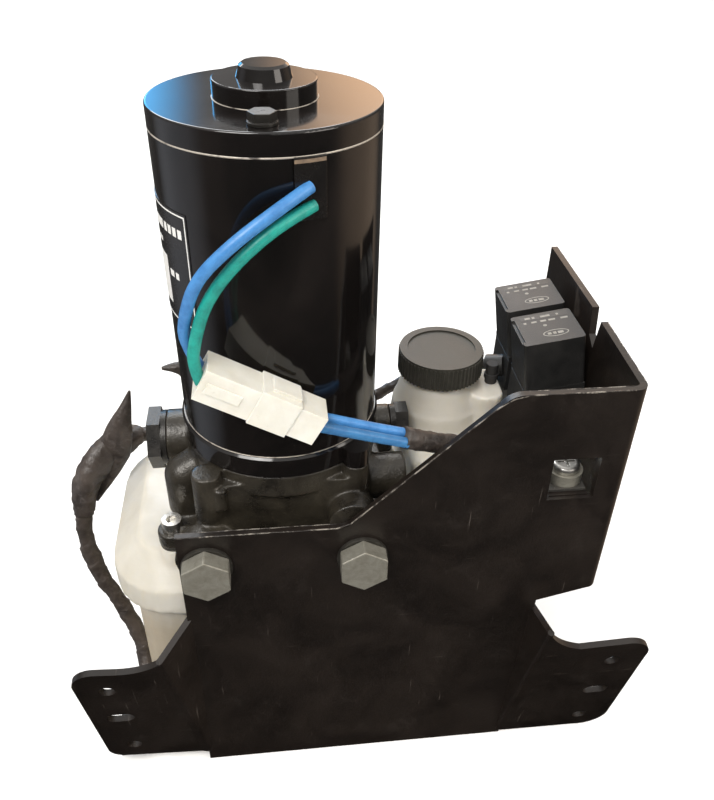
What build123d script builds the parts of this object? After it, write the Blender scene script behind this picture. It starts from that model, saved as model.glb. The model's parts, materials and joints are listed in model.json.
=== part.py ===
from build123d import *
from math import acos, cos, pi, radians, sin, tan
import os

os.makedirs("parts", exist_ok=True)

# Frame: origin on the motor axis at the level the unit stands on, +Z up, bracket plate facing -Y.

# bracket
PLATE_FRONT = -50.0
SHEET = 3.0
PLATE_BACK = PLATE_FRONT + SHEET
PLATE_LEFT = -44.6
PLATE_LOW_TOP = 155.7
PLATE_HIGH_TOP = 216.8
SLOPE_START = 23.8
SLOPE_END = 85.3
WALL_OUT = 137.8
WALL_IN = WALL_OUT - SHEET
WALL_BACK = 69.0
WALL_TOP = 218.5
BEND_R = 5.0
BOX_LOW = 109.0
BOLT_X = (-33.3, 30.5)
BOLT_Z = 139.4
BOLT_R = 6.0
LEFT_LEAN = 10.0
RIGHT_LEAN = 11.0
WING_HOLE_R = 3.6
TAB_TOP = 164.5
TAB_SCREW = (116.0, -38.0)

# motor
CAN_R = 40.0
CAN_WALL = 2.2
CAN_BOTTOM = 185.8
CAN_TOP = 302.2
CAP_TOP = 309.8
BASE_BOTTOM = 176.0
BASE_R = 41.2
SHAFT_R = 5.0
CORE_R = 26.5
CORE_LOW = 212.0
CORE_HIGH = 268.0
COMM_R = 13.0
THROUGH_R = 31.0
LABEL_LOW = 236.0
LABEL_HIGH = 280.0

# pump body
FLANGE_LOW = 136.0
FLANGE_HIGH = 143.0
EAR_POINTS = ((-48.0, -30.0), (48.0, -30.0), (-48.0, 28.0), (48.0, 28.0))
LEFT_BORE = (8.0, 162.5)
RIGHT_BORE = (5.0, 168.0)
SPOOL_BORE = (22.0, 152.0)
RELIEF_BORE = (-20.0, 157.0)
SPOOL_R = 5.0
PORT_X = (-16.0, 16.0)
PORT_Z = 156.0
PORT_R = 4.3

# gear pump
MODULE = 2.0
TEETH = 10
GEAR_TIP = 11.6
GEAR_ROOT = 7.4
GEAR_GAP = MODULE * TEETH
GEAR_LOW = 112.0
GEAR_HIGH = 126.0

# tank and cap
TANK_DECK = 130.5
TANK_SEAM = 104.0
SHOULDER = 12.5
SHOULDER_LOW = TANK_DECK - SHOULDER
WALL = 2.2
NECK_AT = (73.8, 23.8)
NECK_R = 15.4
CAP_R = 19.35
CAP_LOW = 182.3
CAP_HIGH = 193.3
LOBE_TOP = 158.0

# relays
RELAY_TILT = 9.0
RELAY_Y = (9.7, 39.0)
RELAY_TOP = (116.4, 210.3)
RELAY_W = 26.6
RELAY_D = 24.6
RELAY_H = 26.0

# wiring
LEAD = 4.2
LOOM_WIRE = 4.2
LOOM_END = (105.0, -9.5, 173.6)
LOOM_INSIDE = (112.8, -1.7, 172.4)
HARNESS_START = (101.0, 40.0, 172.0)
HARNESS_INSIDE = (108.7, 35.92, 174.27)

# connector
PLUG_AT = (-6.9, -48.25, 219.7)
PLUG_ANGLE = 29.5


def post(radius, low, high, x=0.0, y=0.0, mode=Mode.ADD):
    """Upright cylinder between two heights."""
    with Locations((x, y, low)):
        Cylinder(radius, high - low, align=(Align.CENTER, Align.CENTER, Align.MIN), mode=mode)


def bar_x(radius, start, end, y, z, mode=Mode.ADD):
    """Cylinder lying along X."""
    with Locations(Location((min(start, end), y, z), (0, 90, 0))):
        Cylinder(radius, abs(end - start), align=(Align.CENTER, Align.CENTER, Align.MIN), mode=mode)


def bar_y(radius, start, end, x, z, mode=Mode.ADD):
    """Cylinder lying along Y."""
    with Locations(Location((x, max(start, end), z), (90, 0, 0))):
        Cylinder(radius, abs(end - start), align=(Align.CENTER, Align.CENTER, Align.MIN), mode=mode)


def block(x0, x1, y0, y1, z0, z1, mode=Mode.ADD):
    """Axis-aligned box between limits."""
    with Locations(((x0 + x1) / 2, (y0 + y1) / 2, (z0 + z1) / 2)):
        Box(abs(x1 - x0), abs(y1 - y0), abs(z1 - z0), mode=mode)


def prism(points, plane, length, mode=Mode.ADD, both=False):
    """Polygon given in a plane's own coordinates, pushed along the plane's normal."""
    corners = [plane.from_local_coords(Vector(u, v, 0)) for u, v in points]
    face = Face(Wire.make_polygon(corners, close=True))
    extrude(face, amount=length, dir=plane.z_dir, both=both, mode=mode)


def hexagon(across_flats):
    """Corner points of a hexagon with two flats level."""
    corner = across_flats / 2 / cos(radians(30))
    return [(corner * cos(radians(60 * i)), corner * sin(radians(60 * i))) for i in range(6)]


def rounded(x0, x1, y0, y1, r, steps=6):
    """Corner points of a rectangle with rounded corners."""
    centres = ((x1 - r, y1 - r, 0), (x0 + r, y1 - r, 90), (x0 + r, y0 + r, 180), (x1 - r, y0 + r, 270))
    points = []
    for cx, cy, start in centres:
        for i in range(steps + 1):
            turn = radians(start + 90 * i / steps)
            points.append((cx + r * cos(turn), cy + r * sin(turn)))
    return points


def rod(start, end, radius, mode=Mode.ADD):
    """Round bar between two points."""
    base = Plane(origin=start, z_dir=Vector(*end) - Vector(*start))
    length = (Vector(*end) - Vector(*start)).length
    with Locations(base.location):
        Cylinder(radius, length, align=(Align.CENTER, Align.CENTER, Align.MIN), mode=mode)


def web(a, b, c, thickness):
    """Triangular sheet about its mid-plane."""
    face = Face(Wire.make_polygon([a, b, c], close=True))
    extrude(face, amount=thickness / 2, dir=face.normal_at(), both=True)


def save(part, name):
    """Write one named sub-part."""
    part.label = name
    export_step(part, f"parts/{name}.step")


def coil_spring(start, end, axis, across, wire_r, turns, name):
    """Compression spring between two stations on an axis along X."""
    length = abs(end - start)
    with BuildPart() as spring:
        with BuildLine() as path:
            Helix(length / turns, length, across)
        tangent = path.line % 0
        with BuildSketch(Plane(origin=path.line @ 0, z_dir=tangent)):
            Circle(wire_r)
        sweep(path=path.line, is_frenet=True)
    placed = Location((min(start, end), axis[0], axis[1]), (0, 90, 0)) * spring.part
    save(placed, name)


def cord(points, diameter, name):
    """Round cord along straight runs joined by tangent arcs."""
    radii = []
    for before, corner, after in zip(points, points[1:], points[2:]):
        first = Vector(*corner) - Vector(*before)
        second = Vector(*after) - Vector(*corner)
        turn = radians(first.get_angle(second))
        radii.append(0.45 * min(first.length, second.length) / tan(turn / 2))
    with BuildPart() as tube:
        with BuildLine() as route:
            if radii:
                FilletPolyline(*points, radius=radii)
            else:
                Line(*points)
        with BuildSketch(Plane(origin=route.wire() @ 0, z_dir=route.wire() % 0)):
            Circle(diameter / 2)
        sweep(path=route.wire())
    length = route.wire().length
    ratio = tube.part.volume / (pi * diameter ** 2 / 4 * length)
    least = min(radii) / diameter if radii else 0.0
    print(f"{name}: length {length:.1f}, least radius {least:.1f} dia, volume ratio {ratio:.3f}")
    save(tube.part, name)


# ---------------------------------------------------------------- bracket
front = Plane.XZ.offset(-PLATE_FRONT)
left_wing = Plane(
    origin=(0, PLATE_FRONT + SHEET / 2, 11.0),
    x_dir=(1, 0, 0),
    z_dir=(0, -cos(radians(LEFT_LEAN)), -sin(radians(LEFT_LEAN))),
)
right_wing = Plane(
    origin=(0, PLATE_FRONT + SHEET / 2, 2.0),
    x_dir=(1, 0, 0),
    z_dir=(0, -cos(radians(RIGHT_LEAN)), -sin(radians(RIGHT_LEAN))),
)
LEFT_HOLES = ((-81.6, 68.1), (-79.1, 10.7))
LEFT_SLOT = (-80.5, 41.0)
RIGHT_HOLES = ((147.6, 72.3), (146.6, 11.4))
RIGHT_SLOT = (147.6, 41.1)
SLOT_LENGTH = 12.5


def folds(wing, low, high, plate_low, plate_high):
    """Triangular webs and rounded fold lines that join a wing to the plate."""
    wing_low = tuple(wing.from_local_coords(Vector(low[0], low[1], 0)))
    wing_high = tuple(wing.from_local_coords(Vector(high[0], high[1], 0)))
    web(plate_low, plate_high, wing_high, SHEET)
    web(plate_low, wing_high, wing_low, SHEET)
    rod(plate_low, plate_high, SHEET / 2)
    rod(wing_low, wing_high, SHEET / 2)
    rod(plate_low, wing_high, SHEET / 2)


with BuildPart() as bracket:
    with BuildSketch(front):
        with BuildLine():
            Polyline(
                (PLATE_LEFT, 0.0), (PLATE_LEFT, PLATE_LOW_TOP), (SLOPE_START, PLATE_LOW_TOP),
                (SLOPE_END, PLATE_HIGH_TOP), (WALL_OUT - BEND_R, PLATE_HIGH_TOP),
                (WALL_OUT - BEND_R, BOX_LOW), (110.5, 102.8), (105.5, 0.0), (PLATE_LEFT, 0.0),
            )
        make_face()
        slope_top = vertices().sort_by_distance((SLOPE_END, PLATE_HIGH_TOP, 0))[0]
        fillet(slope_top, radius=9.0)
        slope_low = vertices().sort_by_distance((SLOPE_START, PLATE_LOW_TOP, 0))[0]
        fillet(slope_low, radius=6.0)
    extrude(amount=-SHEET)
    with BuildSketch(Plane.XY.offset(BOX_LOW)):
        with Locations((WALL_OUT - BEND_R, PLATE_FRONT + BEND_R)):
            Circle(BEND_R)
            Circle(BEND_R - SHEET, mode=Mode.SUBTRACT)
            Rectangle(9, 9, align=(Align.MAX, Align.CENTER), mode=Mode.SUBTRACT)
            Rectangle(9, 9, align=(Align.CENTER, Align.MIN), mode=Mode.SUBTRACT)
    extrude(amount=PLATE_HIGH_TOP - BOX_LOW)
    with BuildSketch(Plane.YZ.offset(WALL_IN)):
        with BuildLine():
            Polyline(
                (PLATE_FRONT + BEND_R, BOX_LOW), (PLATE_FRONT + BEND_R, PLATE_HIGH_TOP),
                (-2.0, WALL_TOP), (1.0, 204.0), (7.0, 207.5), (9.0, WALL_TOP + 1.0),
                (WALL_BACK, WALL_TOP + 1.5), (WALL_BACK, 150.0), (40.0, BOX_LOW),
                (PLATE_FRONT + BEND_R, BOX_LOW),
            )
        make_face()
    extrude(amount=SHEET)
    block(105.5, 125.0, PLATE_FRONT - 1, PLATE_BACK + 1, TAB_TOP - 0.5, 185.0, mode=Mode.SUBTRACT)
    block(107.0, 123.5, PLATE_BACK - 1.0, -27.0, TAB_TOP - SHEET, TAB_TOP)
    folds(left_wing, (-48.0, -5.0), (-56.4, 88.6), (-43.6, -48.5, 6.0), (-43.6, -48.5, 107.0))
    folds(right_wing, (111.0, -0.8), (112.3, 101.5), (105.0, -48.5, 1.6), (110.2, -48.5, 97.5))
    with BuildSketch(left_wing):
        with BuildLine():
            Polyline((-56.4, 88.6), (-48.0, -5.0), (-84.0, -1.8))
            ThreePointArc((-84.0, -1.8), (-89.8, 0.6), (-92.3, 7.0))
            Line((-92.3, 7.0), (-95.2, 72.3))
            ThreePointArc((-95.2, 72.3), (-92.6, 80.4), (-85.4, 83.6))
            Line((-85.4, 83.6), (-75.0, 82.6))
            ThreePointArc((-75.0, 82.6), (-65.4, 83.6), (-56.4, 88.6))
        make_face()
        with Locations(*LEFT_HOLES):
            Circle(WING_HOLE_R, mode=Mode.SUBTRACT)
        with Locations(LEFT_SLOT):
            SlotOverall(SLOT_LENGTH, 2 * WING_HOLE_R, mode=Mode.SUBTRACT)
    extrude(amount=SHEET / 2, both=True)
    with BuildSketch(right_wing):
        with BuildLine():
            Polyline((112.3, 101.5), (111.0, -0.8), (147.0, -1.4))
            ThreePointArc((147.0, -1.4), (157.6, 1.9), (161.8, 11.4))
            Line((161.8, 11.4), (163.4, 74.3))
            ThreePointArc((163.4, 74.3), (160.4, 84.6), (151.9, 88.0))
            Line((151.9, 88.0), (129.0, 86.4))
            ThreePointArc((129.0, 86.4), (119.4, 92.0), (112.3, 101.5))
        make_face()
        with Locations(*RIGHT_HOLES):
            Circle(WING_HOLE_R, mode=Mode.SUBTRACT)
        with Locations(RIGHT_SLOT):
            SlotOverall(SLOT_LENGTH, 2 * WING_HOLE_R, mode=Mode.SUBTRACT)
    extrude(amount=SHEET / 2, both=True)
    for bolt_x in BOLT_X:
        bar_y(BOLT_R + 0.5, PLATE_FRONT - 1, PLATE_BACK + 1, bolt_x, BOLT_Z, mode=Mode.SUBTRACT)
    post(2.5, TAB_TOP - SHEET - 1, TAB_TOP + 1, TAB_SCREW[0], TAB_SCREW[1], mode=Mode.SUBTRACT)
save(bracket.part, "bracket")

# ---------------------------------------------------------------- plate bolts and washers
with BuildPart() as bracket_bolts:
    for bolt_x in BOLT_X:
        head = Plane(origin=(bolt_x, PLATE_FRONT - 2.0, BOLT_Z), x_dir=(0, 0, 1), z_dir=(0, -1, 0))
        prism(hexagon(18.8), head, 7.6)
        bar_y(BOLT_R - 0.05, PLATE_FRONT - 2.0, -39.5, bolt_x, BOLT_Z)
save(bracket_bolts.part, "bracket_bolts")

with BuildPart() as lock_washers:
    for bolt_x in BOLT_X:
        bar_y(10.6, PLATE_FRONT, PLATE_FRONT - 2.0, bolt_x, BOLT_Z)
        bar_y(BOLT_R + 0.4, PLATE_FRONT + 1, PLATE_FRONT - 3.0, bolt_x, BOLT_Z, mode=Mode.SUBTRACT)
save(lock_washers.part, "lock_washers")

# ---------------------------------------------------------------- pump body casting
with BuildPart() as pump_body:
    prism(rounded(-46.0, 46.0, -38.0, 34.0, 12.0), Plane.XY.offset(FLANGE_LOW), FLANGE_HIGH - FLANGE_LOW)
    for ear_x, ear_y in EAR_POINTS:
        post(6.4, FLANGE_LOW, FLANGE_HIGH, ear_x, ear_y)
        block(min(ear_x, ear_x * 0.8), max(ear_x, ear_x * 0.8), ear_y - 5.5, ear_y + 5.5,
              FLANGE_LOW, FLANGE_HIGH)
    prism(rounded(-35.0, 35.0, -37.8, 36.0, 9.0), Plane.XY.offset(FLANGE_HIGH - 1), 29.0)
    post(40.6, 166.0, BASE_BOTTOM)
    with Locations((0, 0, 156.0)):
        Cone(31.0, 40.6, 10.0, align=(Align.CENTER, Align.CENTER, Align.MIN))
    bar_x(12.4, -50.0, -20.0, LEFT_BORE[0], LEFT_BORE[1])
    bar_x(7.4, 20.0, 48.0, RIGHT_BORE[0], RIGHT_BORE[1])
    bar_x(10.0, 18.0, 51.5, RELIEF_BORE[0], RELIEF_BORE[1])
    post(8.5, FLANGE_HIGH - 1, 160.0, -42.0, -15.0)
    with Locations((-42.0, -15.0, 160.0)):
        Sphere(8.5)
    rod((-42.0, -15.0, 160.0), (-30.0, -12.0, 166.0), 8.5)
    post(6.0, FLANGE_HIGH - 1, BASE_BOTTOM, -31.0, -34.5)
    post(5.6, FLANGE_HIGH - 1, BASE_BOTTOM, 29.0, -32.0)
    for bolt_x in BOLT_X:
        bar_y(13.0, PLATE_BACK, -37.4, bolt_x, BOLT_Z)
        block(bolt_x - 11.0, bolt_x + 11.0, -38.0, -34.0, FLANGE_LOW, 148.0)
    bar_y(10.0, PLATE_BACK, -36.0, 27.0, 154.5)
    post(2.8, 160.0, 170.5, -26.0, -38.4)
    post(9.0, FLANGE_LOW - 1, BASE_BOTTOM + 1, mode=Mode.SUBTRACT)
    post(12.0, 166.0, BASE_BOTTOM + 1, mode=Mode.SUBTRACT)
    bar_x(8.0, -60.0, -14.0, LEFT_BORE[0], LEFT_BORE[1], mode=Mode.SUBTRACT)
    bar_x(4.5, 14.0, 60.0, RIGHT_BORE[0], RIGHT_BORE[1], mode=Mode.SUBTRACT)
    bar_x(5.5, 15.0, 60.0, RELIEF_BORE[0], RELIEF_BORE[1], mode=Mode.SUBTRACT)
    bar_x(SPOOL_R + 0.05, -27.9, 27.9, SPOOL_BORE[0], SPOOL_BORE[1], mode=Mode.SUBTRACT)
    for side in (-1, 1):
        bar_x(5.5, side * 27.9, side * 60.0, SPOOL_BORE[0], SPOOL_BORE[1], mode=Mode.SUBTRACT)
    for bolt_x in BOLT_X:
        bar_y(BOLT_R, PLATE_BACK - 1, -38.5, bolt_x, BOLT_Z, mode=Mode.SUBTRACT)
    for port_x in PORT_X:
        bar_y(PORT_R, 28.0, 40.0, port_x, PORT_Z, mode=Mode.SUBTRACT)
        bar_y(1.6, 22.0, 29.0, port_x, PORT_Z - 2.5, mode=Mode.SUBTRACT)
    for ear_x, ear_y in EAR_POINTS:
        post(2.8, FLANGE_LOW - 1, FLANGE_HIGH + 1, ear_x, ear_y, mode=Mode.SUBTRACT)
save(pump_body.part, "pump_body")


def plug_x(across_flats, start, head, collar_r, shank_r, shank_end, bore):
    """Hexagon screw plug on an axis along X: head, collar and shank."""
    side = 1 if head > start else -1
    collar_end = start + side * 2.4
    face = Plane(origin=(collar_end, bore[0], bore[1]), x_dir=(0, 1, 0), z_dir=(side, 0, 0))
    prism(hexagon(across_flats), face, abs(head - collar_end))
    bar_x(collar_r, start, collar_end, bore[0], bore[1])
    bar_x(shank_r, shank_end, start, bore[0], bore[1])


def poppet_x(radius, seat, back, bore):
    """Poppet with a coned nose at the seat end and a spring pocket behind."""
    side = 1 if back > seat else -1
    nose = Plane(origin=(seat, bore[0], bore[1]), z_dir=(side, 0, 0))
    with Locations(nose.location):
        Cone(radius * 0.35, radius, 4.0, align=(Align.CENTER, Align.CENTER, Align.MIN))
    bar_x(radius, seat + side * 4.0, back, bore[0], bore[1])


# ---------------------------------------------------------------- valve cartridges and shuttle spool
with BuildPart() as left_plug:
    plug_x(24.0, -50.0, -58.0, 12.2, 7.95, -40.0, LEFT_BORE)
save(left_plug.part, "left_plug")

with BuildPart() as right_plug:
    plug_x(14.0, 48.0, 56.0, 7.2, 4.45, 39.0, RIGHT_BORE)
save(right_plug.part, "right_plug")

with BuildPart() as check_poppet_left:
    poppet_x(7.95, -15.0, -28.0, LEFT_BORE)
save(check_poppet_left.part, "check_poppet_left")

with BuildPart() as check_poppet_right:
    poppet_x(4.45, 16.0, 28.0, RIGHT_BORE)
save(check_poppet_right.part, "check_poppet_right")

with BuildPart() as relief_poppet:
    poppet_x(5.45, 17.0, 31.0, RELIEF_BORE)
save(relief_poppet.part, "relief_poppet")

coil_spring(-39.0, -29.0, LEFT_BORE, 5.5, 0.9, 4, "check_spring_left")
coil_spring(29.0, 38.0, RIGHT_BORE, 2.9, 0.6, 5, "check_spring_right")
coil_spring(32.0, 43.0, RELIEF_BORE, 3.6, 0.8, 5, "relief_spring")

with BuildPart() as shuttle_spool:
    bar_x(SPOOL_R, -14.0, 14.0, SPOOL_BORE[0], SPOOL_BORE[1])
    with BuildSketch(Plane.YZ.offset(-9.0)):
        with Locations(SPOOL_BORE):
            Circle(SPOOL_R + 1)
            Circle(SPOOL_R - 1.6, mode=Mode.SUBTRACT)
    extrude(amount=6.0, mode=Mode.SUBTRACT)
    with BuildSketch(Plane.YZ.offset(3.0)):
        with Locations(SPOOL_BORE):
            Circle(SPOOL_R + 1)
            Circle(SPOOL_R - 1.6, mode=Mode.SUBTRACT)
    extrude(amount=6.0, mode=Mode.SUBTRACT)
save(shuttle_spool.part, "shuttle_spool")

GALLERY_ENDS = ((-1, 35.0, SPOOL_BORE), (1, 35.0, SPOOL_BORE), (1, 51.0, RELIEF_BORE))
with BuildPart() as gallery_plugs:
    for side, end, bore in GALLERY_ENDS:
        bar_x(5.45, side * (end - 7.0), side * end, bore[0], bore[1])
        block(side * (end - 1.2), side * (end + 1.0), bore[0] - 0.7, bore[0] + 0.7,
              bore[1] - 7.0, bore[1] + 7.0, mode=Mode.SUBTRACT)
save(gallery_plugs.part, "gallery_plugs")

# ---------------------------------------------------------------- gear pump under the body


def gear_outline(turn, thin):
    """Involute gear outline as corner points, each tooth thinned by an angle."""
    pitch_r = MODULE * TEETH / 2
    base_r = pitch_r * cos(radians(20))
    base_angle = tan(radians(20)) - radians(20)
    half_tooth = pi / (2 * TEETH) + base_angle - thin
    points = []
    for tooth in range(TEETH):
        middle = turn + 2 * pi * tooth / TEETH
        flank = []
        for i in range(7):
            r = base_r + (GEAR_TIP - base_r) * i / 6
            pressure = acos(base_r / r)
            flank.append((r, half_tooth - (tan(pressure) - pressure)))
        foot = half_tooth * 1.15
        points.append((GEAR_ROOT * cos(middle - foot), GEAR_ROOT * sin(middle - foot)))
        points += [(r * cos(middle - a), r * sin(middle - a)) for r, a in flank]
        points += [(r * cos(middle + a), r * sin(middle + a)) for r, a in reversed(flank)]
        points.append((GEAR_ROOT * cos(middle + foot), GEAR_ROOT * sin(middle + foot)))
    return points


with BuildPart() as drive_gear:
    prism(gear_outline(0.0, 0.012), Plane.XY.offset(GEAR_LOW + 0.1), GEAR_HIGH - GEAR_LOW - 0.2)
    post(SHAFT_R, 106.0, 151.4)
save(drive_gear.part, "drive_gear")

idler_plane = Plane(origin=(GEAR_GAP, 0, GEAR_LOW + 0.1), x_dir=(1, 0, 0), z_dir=(0, 0, 1))
with BuildPart() as idler_gear:
    prism(gear_outline(pi + pi / TEETH, 0.012), idler_plane, GEAR_HIGH - GEAR_LOW - 0.2)
    post(4.0, 106.0, 132.0, GEAR_GAP, 0)
save(idler_gear.part, "idler_gear")

PUMP_OUTLINE = rounded(-18.0, 38.0, -21.0, 21.0, 8.0)
PUMP_SCREWS = ((-13.0, -15.5), (-13.0, 15.5), (33.0, -15.5), (33.0, 15.5))
with BuildPart() as pump_housing:
    prism(PUMP_OUTLINE, Plane.XY.offset(GEAR_LOW), FLANGE_LOW - GEAR_LOW)
    post(GEAR_TIP + 0.4, GEAR_LOW - 1, GEAR_HIGH, mode=Mode.SUBTRACT)
    post(GEAR_TIP + 0.4, GEAR_LOW - 1, GEAR_HIGH, GEAR_GAP, 0, mode=Mode.SUBTRACT)
    post(SHAFT_R + 0.05, GEAR_LOW, FLANGE_LOW + 1, mode=Mode.SUBTRACT)
    post(4.05, GEAR_LOW, 133.0, GEAR_GAP, 0, mode=Mode.SUBTRACT)
    for screw_x, screw_y in PUMP_SCREWS:
        post(2.6, GEAR_LOW - 1, FLANGE_LOW + 1, screw_x, screw_y, mode=Mode.SUBTRACT)
save(pump_housing.part, "pump_housing")

with BuildPart() as pump_end_plate:
    prism(PUMP_OUTLINE, Plane.XY.offset(104.0), GEAR_LOW - 104.0)
    post(SHAFT_R + 0.05, 105.0, GEAR_LOW + 1, mode=Mode.SUBTRACT)
    post(4.05, 105.0, GEAR_LOW + 1, GEAR_GAP, 0, mode=Mode.SUBTRACT)
    post(3.0, 103.0, GEAR_LOW + 1, GEAR_GAP / 2, -9.0, mode=Mode.SUBTRACT)
    for screw_x, screw_y in PUMP_SCREWS:
        post(2.6, 103.0, GEAR_LOW + 1, screw_x, screw_y, mode=Mode.SUBTRACT)
save(pump_end_plate.part, "pump_end_plate")

with BuildPart() as pump_screws:
    for screw_x, screw_y in PUMP_SCREWS:
        post(2.5, 104.0, FLANGE_LOW, screw_x, screw_y)
        post(4.25, 99.0, 104.0, screw_x, screw_y)
        socket = Plane(origin=(screw_x, screw_y, 98.9), x_dir=(1, 0, 0), z_dir=(0, 0, 1))
        prism(hexagon(4.0), socket, 2.6, mode=Mode.SUBTRACT)
save(pump_screws.part, "pump_screws")

with BuildPart() as suction_strainer:
    post(5.0, 62.0, 104.0, GEAR_GAP / 2, -9.0)
    post(12.0, 34.0, 64.0, GEAR_GAP / 2, -9.0)
    post(10.6, 35.5, 62.5, GEAR_GAP / 2, -9.0, mode=Mode.SUBTRACT)
    post(3.4, 60.0, 105.0, GEAR_GAP / 2, -9.0, mode=Mode.SUBTRACT)
save(suction_strainer.part, "suction_strainer")

# ---------------------------------------------------------------- tank, gasket, screws, cap
with BuildPart() as shoulder_space:
    prism(rounded(-75.8, 97.8, -41.8, 57.8, 25.8), Plane.XY.offset(TANK_SEAM + WALL),
          TANK_DECK - TANK_SEAM - 2 * WALL)
    inner_edges = shoulder_space.edges().filter_by_position(
        Axis.Z, TANK_DECK - WALL - 0.01, TANK_DECK - WALL + 0.01)
    chamfer(inner_edges, length=SHOULDER - 1.0)

with BuildPart() as reservoir:
    prism(rounded(-71.0, 93.0, -41.0, 57.0, 24.0), Plane.XY, TANK_SEAM + 1)
    prism(rounded(-78.0, 100.0, -44.0, 60.0, 28.0), Plane.XY.offset(TANK_SEAM), TANK_DECK - TANK_SEAM)
    deck_edges = reservoir.edges().filter_by_position(Axis.Z, TANK_DECK - 0.01, TANK_DECK + 0.01)
    chamfer(deck_edges, length=SHOULDER)
    block(57.0, 102.0, -14.0, 42.0, 100.0, LOBE_TOP)
    lobe_edges = reservoir.edges().filter_by_position(Axis.Z, LOBE_TOP - 0.01, LOBE_TOP + 0.01)
    lobe_edges += reservoir.edges().filter_by(Axis.Z).filter_by_position(Axis.Z, 142.0, 146.5)
    fillet(lobe_edges, radius=6.0)
    with Locations((NECK_AT[0], NECK_AT[1], 150.0)):
        Cone(23.0, 21.0, 17.0, align=(Align.CENTER, Align.CENTER, Align.MIN))
    with Locations((NECK_AT[0], NECK_AT[1], 167.0)):
        Cone(20.4, 17.0, 12.0, align=(Align.CENTER, Align.CENTER, Align.MIN))
    post(NECK_R, 179.0, 190.6, NECK_AT[0], NECK_AT[1])
    prism(rounded(86.0, 101.9, 6.0, 32.0, 7.0), Plane.XY.offset(150.0), 26.0)
    prism(rounded(-71.0 + WALL, 93.0 - WALL, -41.0 + WALL, 57.0 - WALL, 22.0), Plane.XY.offset(WALL),
          TANK_SEAM, mode=Mode.SUBTRACT)
    add(shoulder_space.part, mode=Mode.SUBTRACT)
    block(60.0, 99.0, -11.0, 39.0, 110.0, LOBE_TOP - 3.0, mode=Mode.SUBTRACT)
    post(12.6, 150.0, 191.0, NECK_AT[0], NECK_AT[1], mode=Mode.SUBTRACT)
    prism(rounded(-45.0, 45.0, -36.5, 33.0, 11.5), Plane.XY.offset(SHOULDER_LOW), 134.8 - SHOULDER_LOW)
    for ear_x, ear_y in EAR_POINTS:
        post(6.2, SHOULDER_LOW, 134.8, ear_x, ear_y)
    prism(rounded(-38.0, 39.0, -30.0, 26.5, 8.0), Plane.XY.offset(SHOULDER_LOW - 1), 30.0, mode=Mode.SUBTRACT)
    for ear_x, ear_y in EAR_POINTS:
        post(2.5, 124.0, 136.0, ear_x, ear_y, mode=Mode.SUBTRACT)
save(reservoir.part, "reservoir")

with BuildPart() as tank_gasket:
    prism(rounded(-44.5, 44.5, -36.0, 32.5, 11.0), Plane.XY.offset(134.8), 1.2)
    for ear_x, ear_y in EAR_POINTS:
        post(6.0, 134.8, FLANGE_LOW, ear_x, ear_y)
    prism(rounded(-38.5, 39.5, -30.5, 27.0, 8.0), Plane.XY.offset(134.0), 3.0, mode=Mode.SUBTRACT)
    for ear_x, ear_y in EAR_POINTS:
        post(2.8, 134.0, 137.0, ear_x, ear_y, mode=Mode.SUBTRACT)
save(tank_gasket.part, "tank_gasket")

with BuildPart() as body_screws:
    for ear_x, ear_y in EAR_POINTS:
        post(2.45, 125.0, FLANGE_HIGH, ear_x, ear_y)
        post(4.25, FLANGE_HIGH, FLANGE_HIGH + 5.0, ear_x, ear_y)
        socket = Plane(origin=(ear_x, ear_y, FLANGE_HIGH + 2.6), x_dir=(1, 0, 0), z_dir=(0, 0, 1))
        prism(hexagon(4.0), socket, 3.0, mode=Mode.SUBTRACT)
save(body_screws.part, "body_screws")

with BuildPart() as filler_cap:
    post(CAP_R - 0.5, CAP_LOW, CAP_HIGH, NECK_AT[0], NECK_AT[1])
    with Locations((NECK_AT[0], NECK_AT[1], CAP_LOW)):
        with PolarLocations(CAP_R - 0.5, 60):
            Cylinder(0.55, CAP_HIGH - CAP_LOW - 1.0, align=(Align.CENTER, Align.CENTER, Align.MIN))
    post(15.4, CAP_HIGH - 0.7, CAP_HIGH + 1, NECK_AT[0], NECK_AT[1], mode=Mode.SUBTRACT)
    post(NECK_R + 0.5, CAP_LOW - 1, CAP_HIGH - 2.2, NECK_AT[0], NECK_AT[1], mode=Mode.SUBTRACT)
save(filler_cap.part, "filler_cap")

with BuildPart() as cap_seal:
    post(NECK_R + 0.1, 190.65, CAP_HIGH - 2.25, NECK_AT[0], NECK_AT[1])
save(cap_seal.part, "cap_seal")

with BuildPart() as vent_plug:
    post(2.8, 176.0, 186.0, 97.6, 20.0)
    post(3.4, 178.5, 181.0, 97.6, 20.0)
save(vent_plug.part, "vent_plug")

# ---------------------------------------------------------------- motor
with BuildPart() as motor_base:
    post(BASE_R, BASE_BOTTOM, CAN_BOTTOM)
    chamfer(motor_base.edges().filter_by(GeomType.CIRCLE), length=0.8)
    post(37.7, CAN_BOTTOM - 1, 190.0)
    post(34.6, CAN_BOTTOM, 191.0, mode=Mode.SUBTRACT)
    post(9.5, BASE_BOTTOM - 1, CAN_BOTTOM + 1, mode=Mode.SUBTRACT)
    for bolt_x, bolt_y in ((-1.3, -THROUGH_R), (1.3, THROUGH_R)):
        post(2.5, 178.0, 192.0, bolt_x, bolt_y, mode=Mode.SUBTRACT)
    post(5.4, BASE_BOTTOM, 184.0, 29.0, -32.0)
save(motor_base.part, "motor_base")

with BuildPart() as motor_can:
    post(CAN_R, CAN_BOTTOM, CAN_TOP)
    chamfer(motor_can.edges().filter_by(GeomType.CIRCLE), length=0.5)
    post(CAN_R - CAN_WALL, CAN_BOTTOM - 1, CAN_TOP + 1, mode=Mode.SUBTRACT)
    block(7.4, 18.0, -45.0, -30.0, 281.7, CAN_TOP + 1, mode=Mode.SUBTRACT)
save(motor_can.part, "motor_can")

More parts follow.
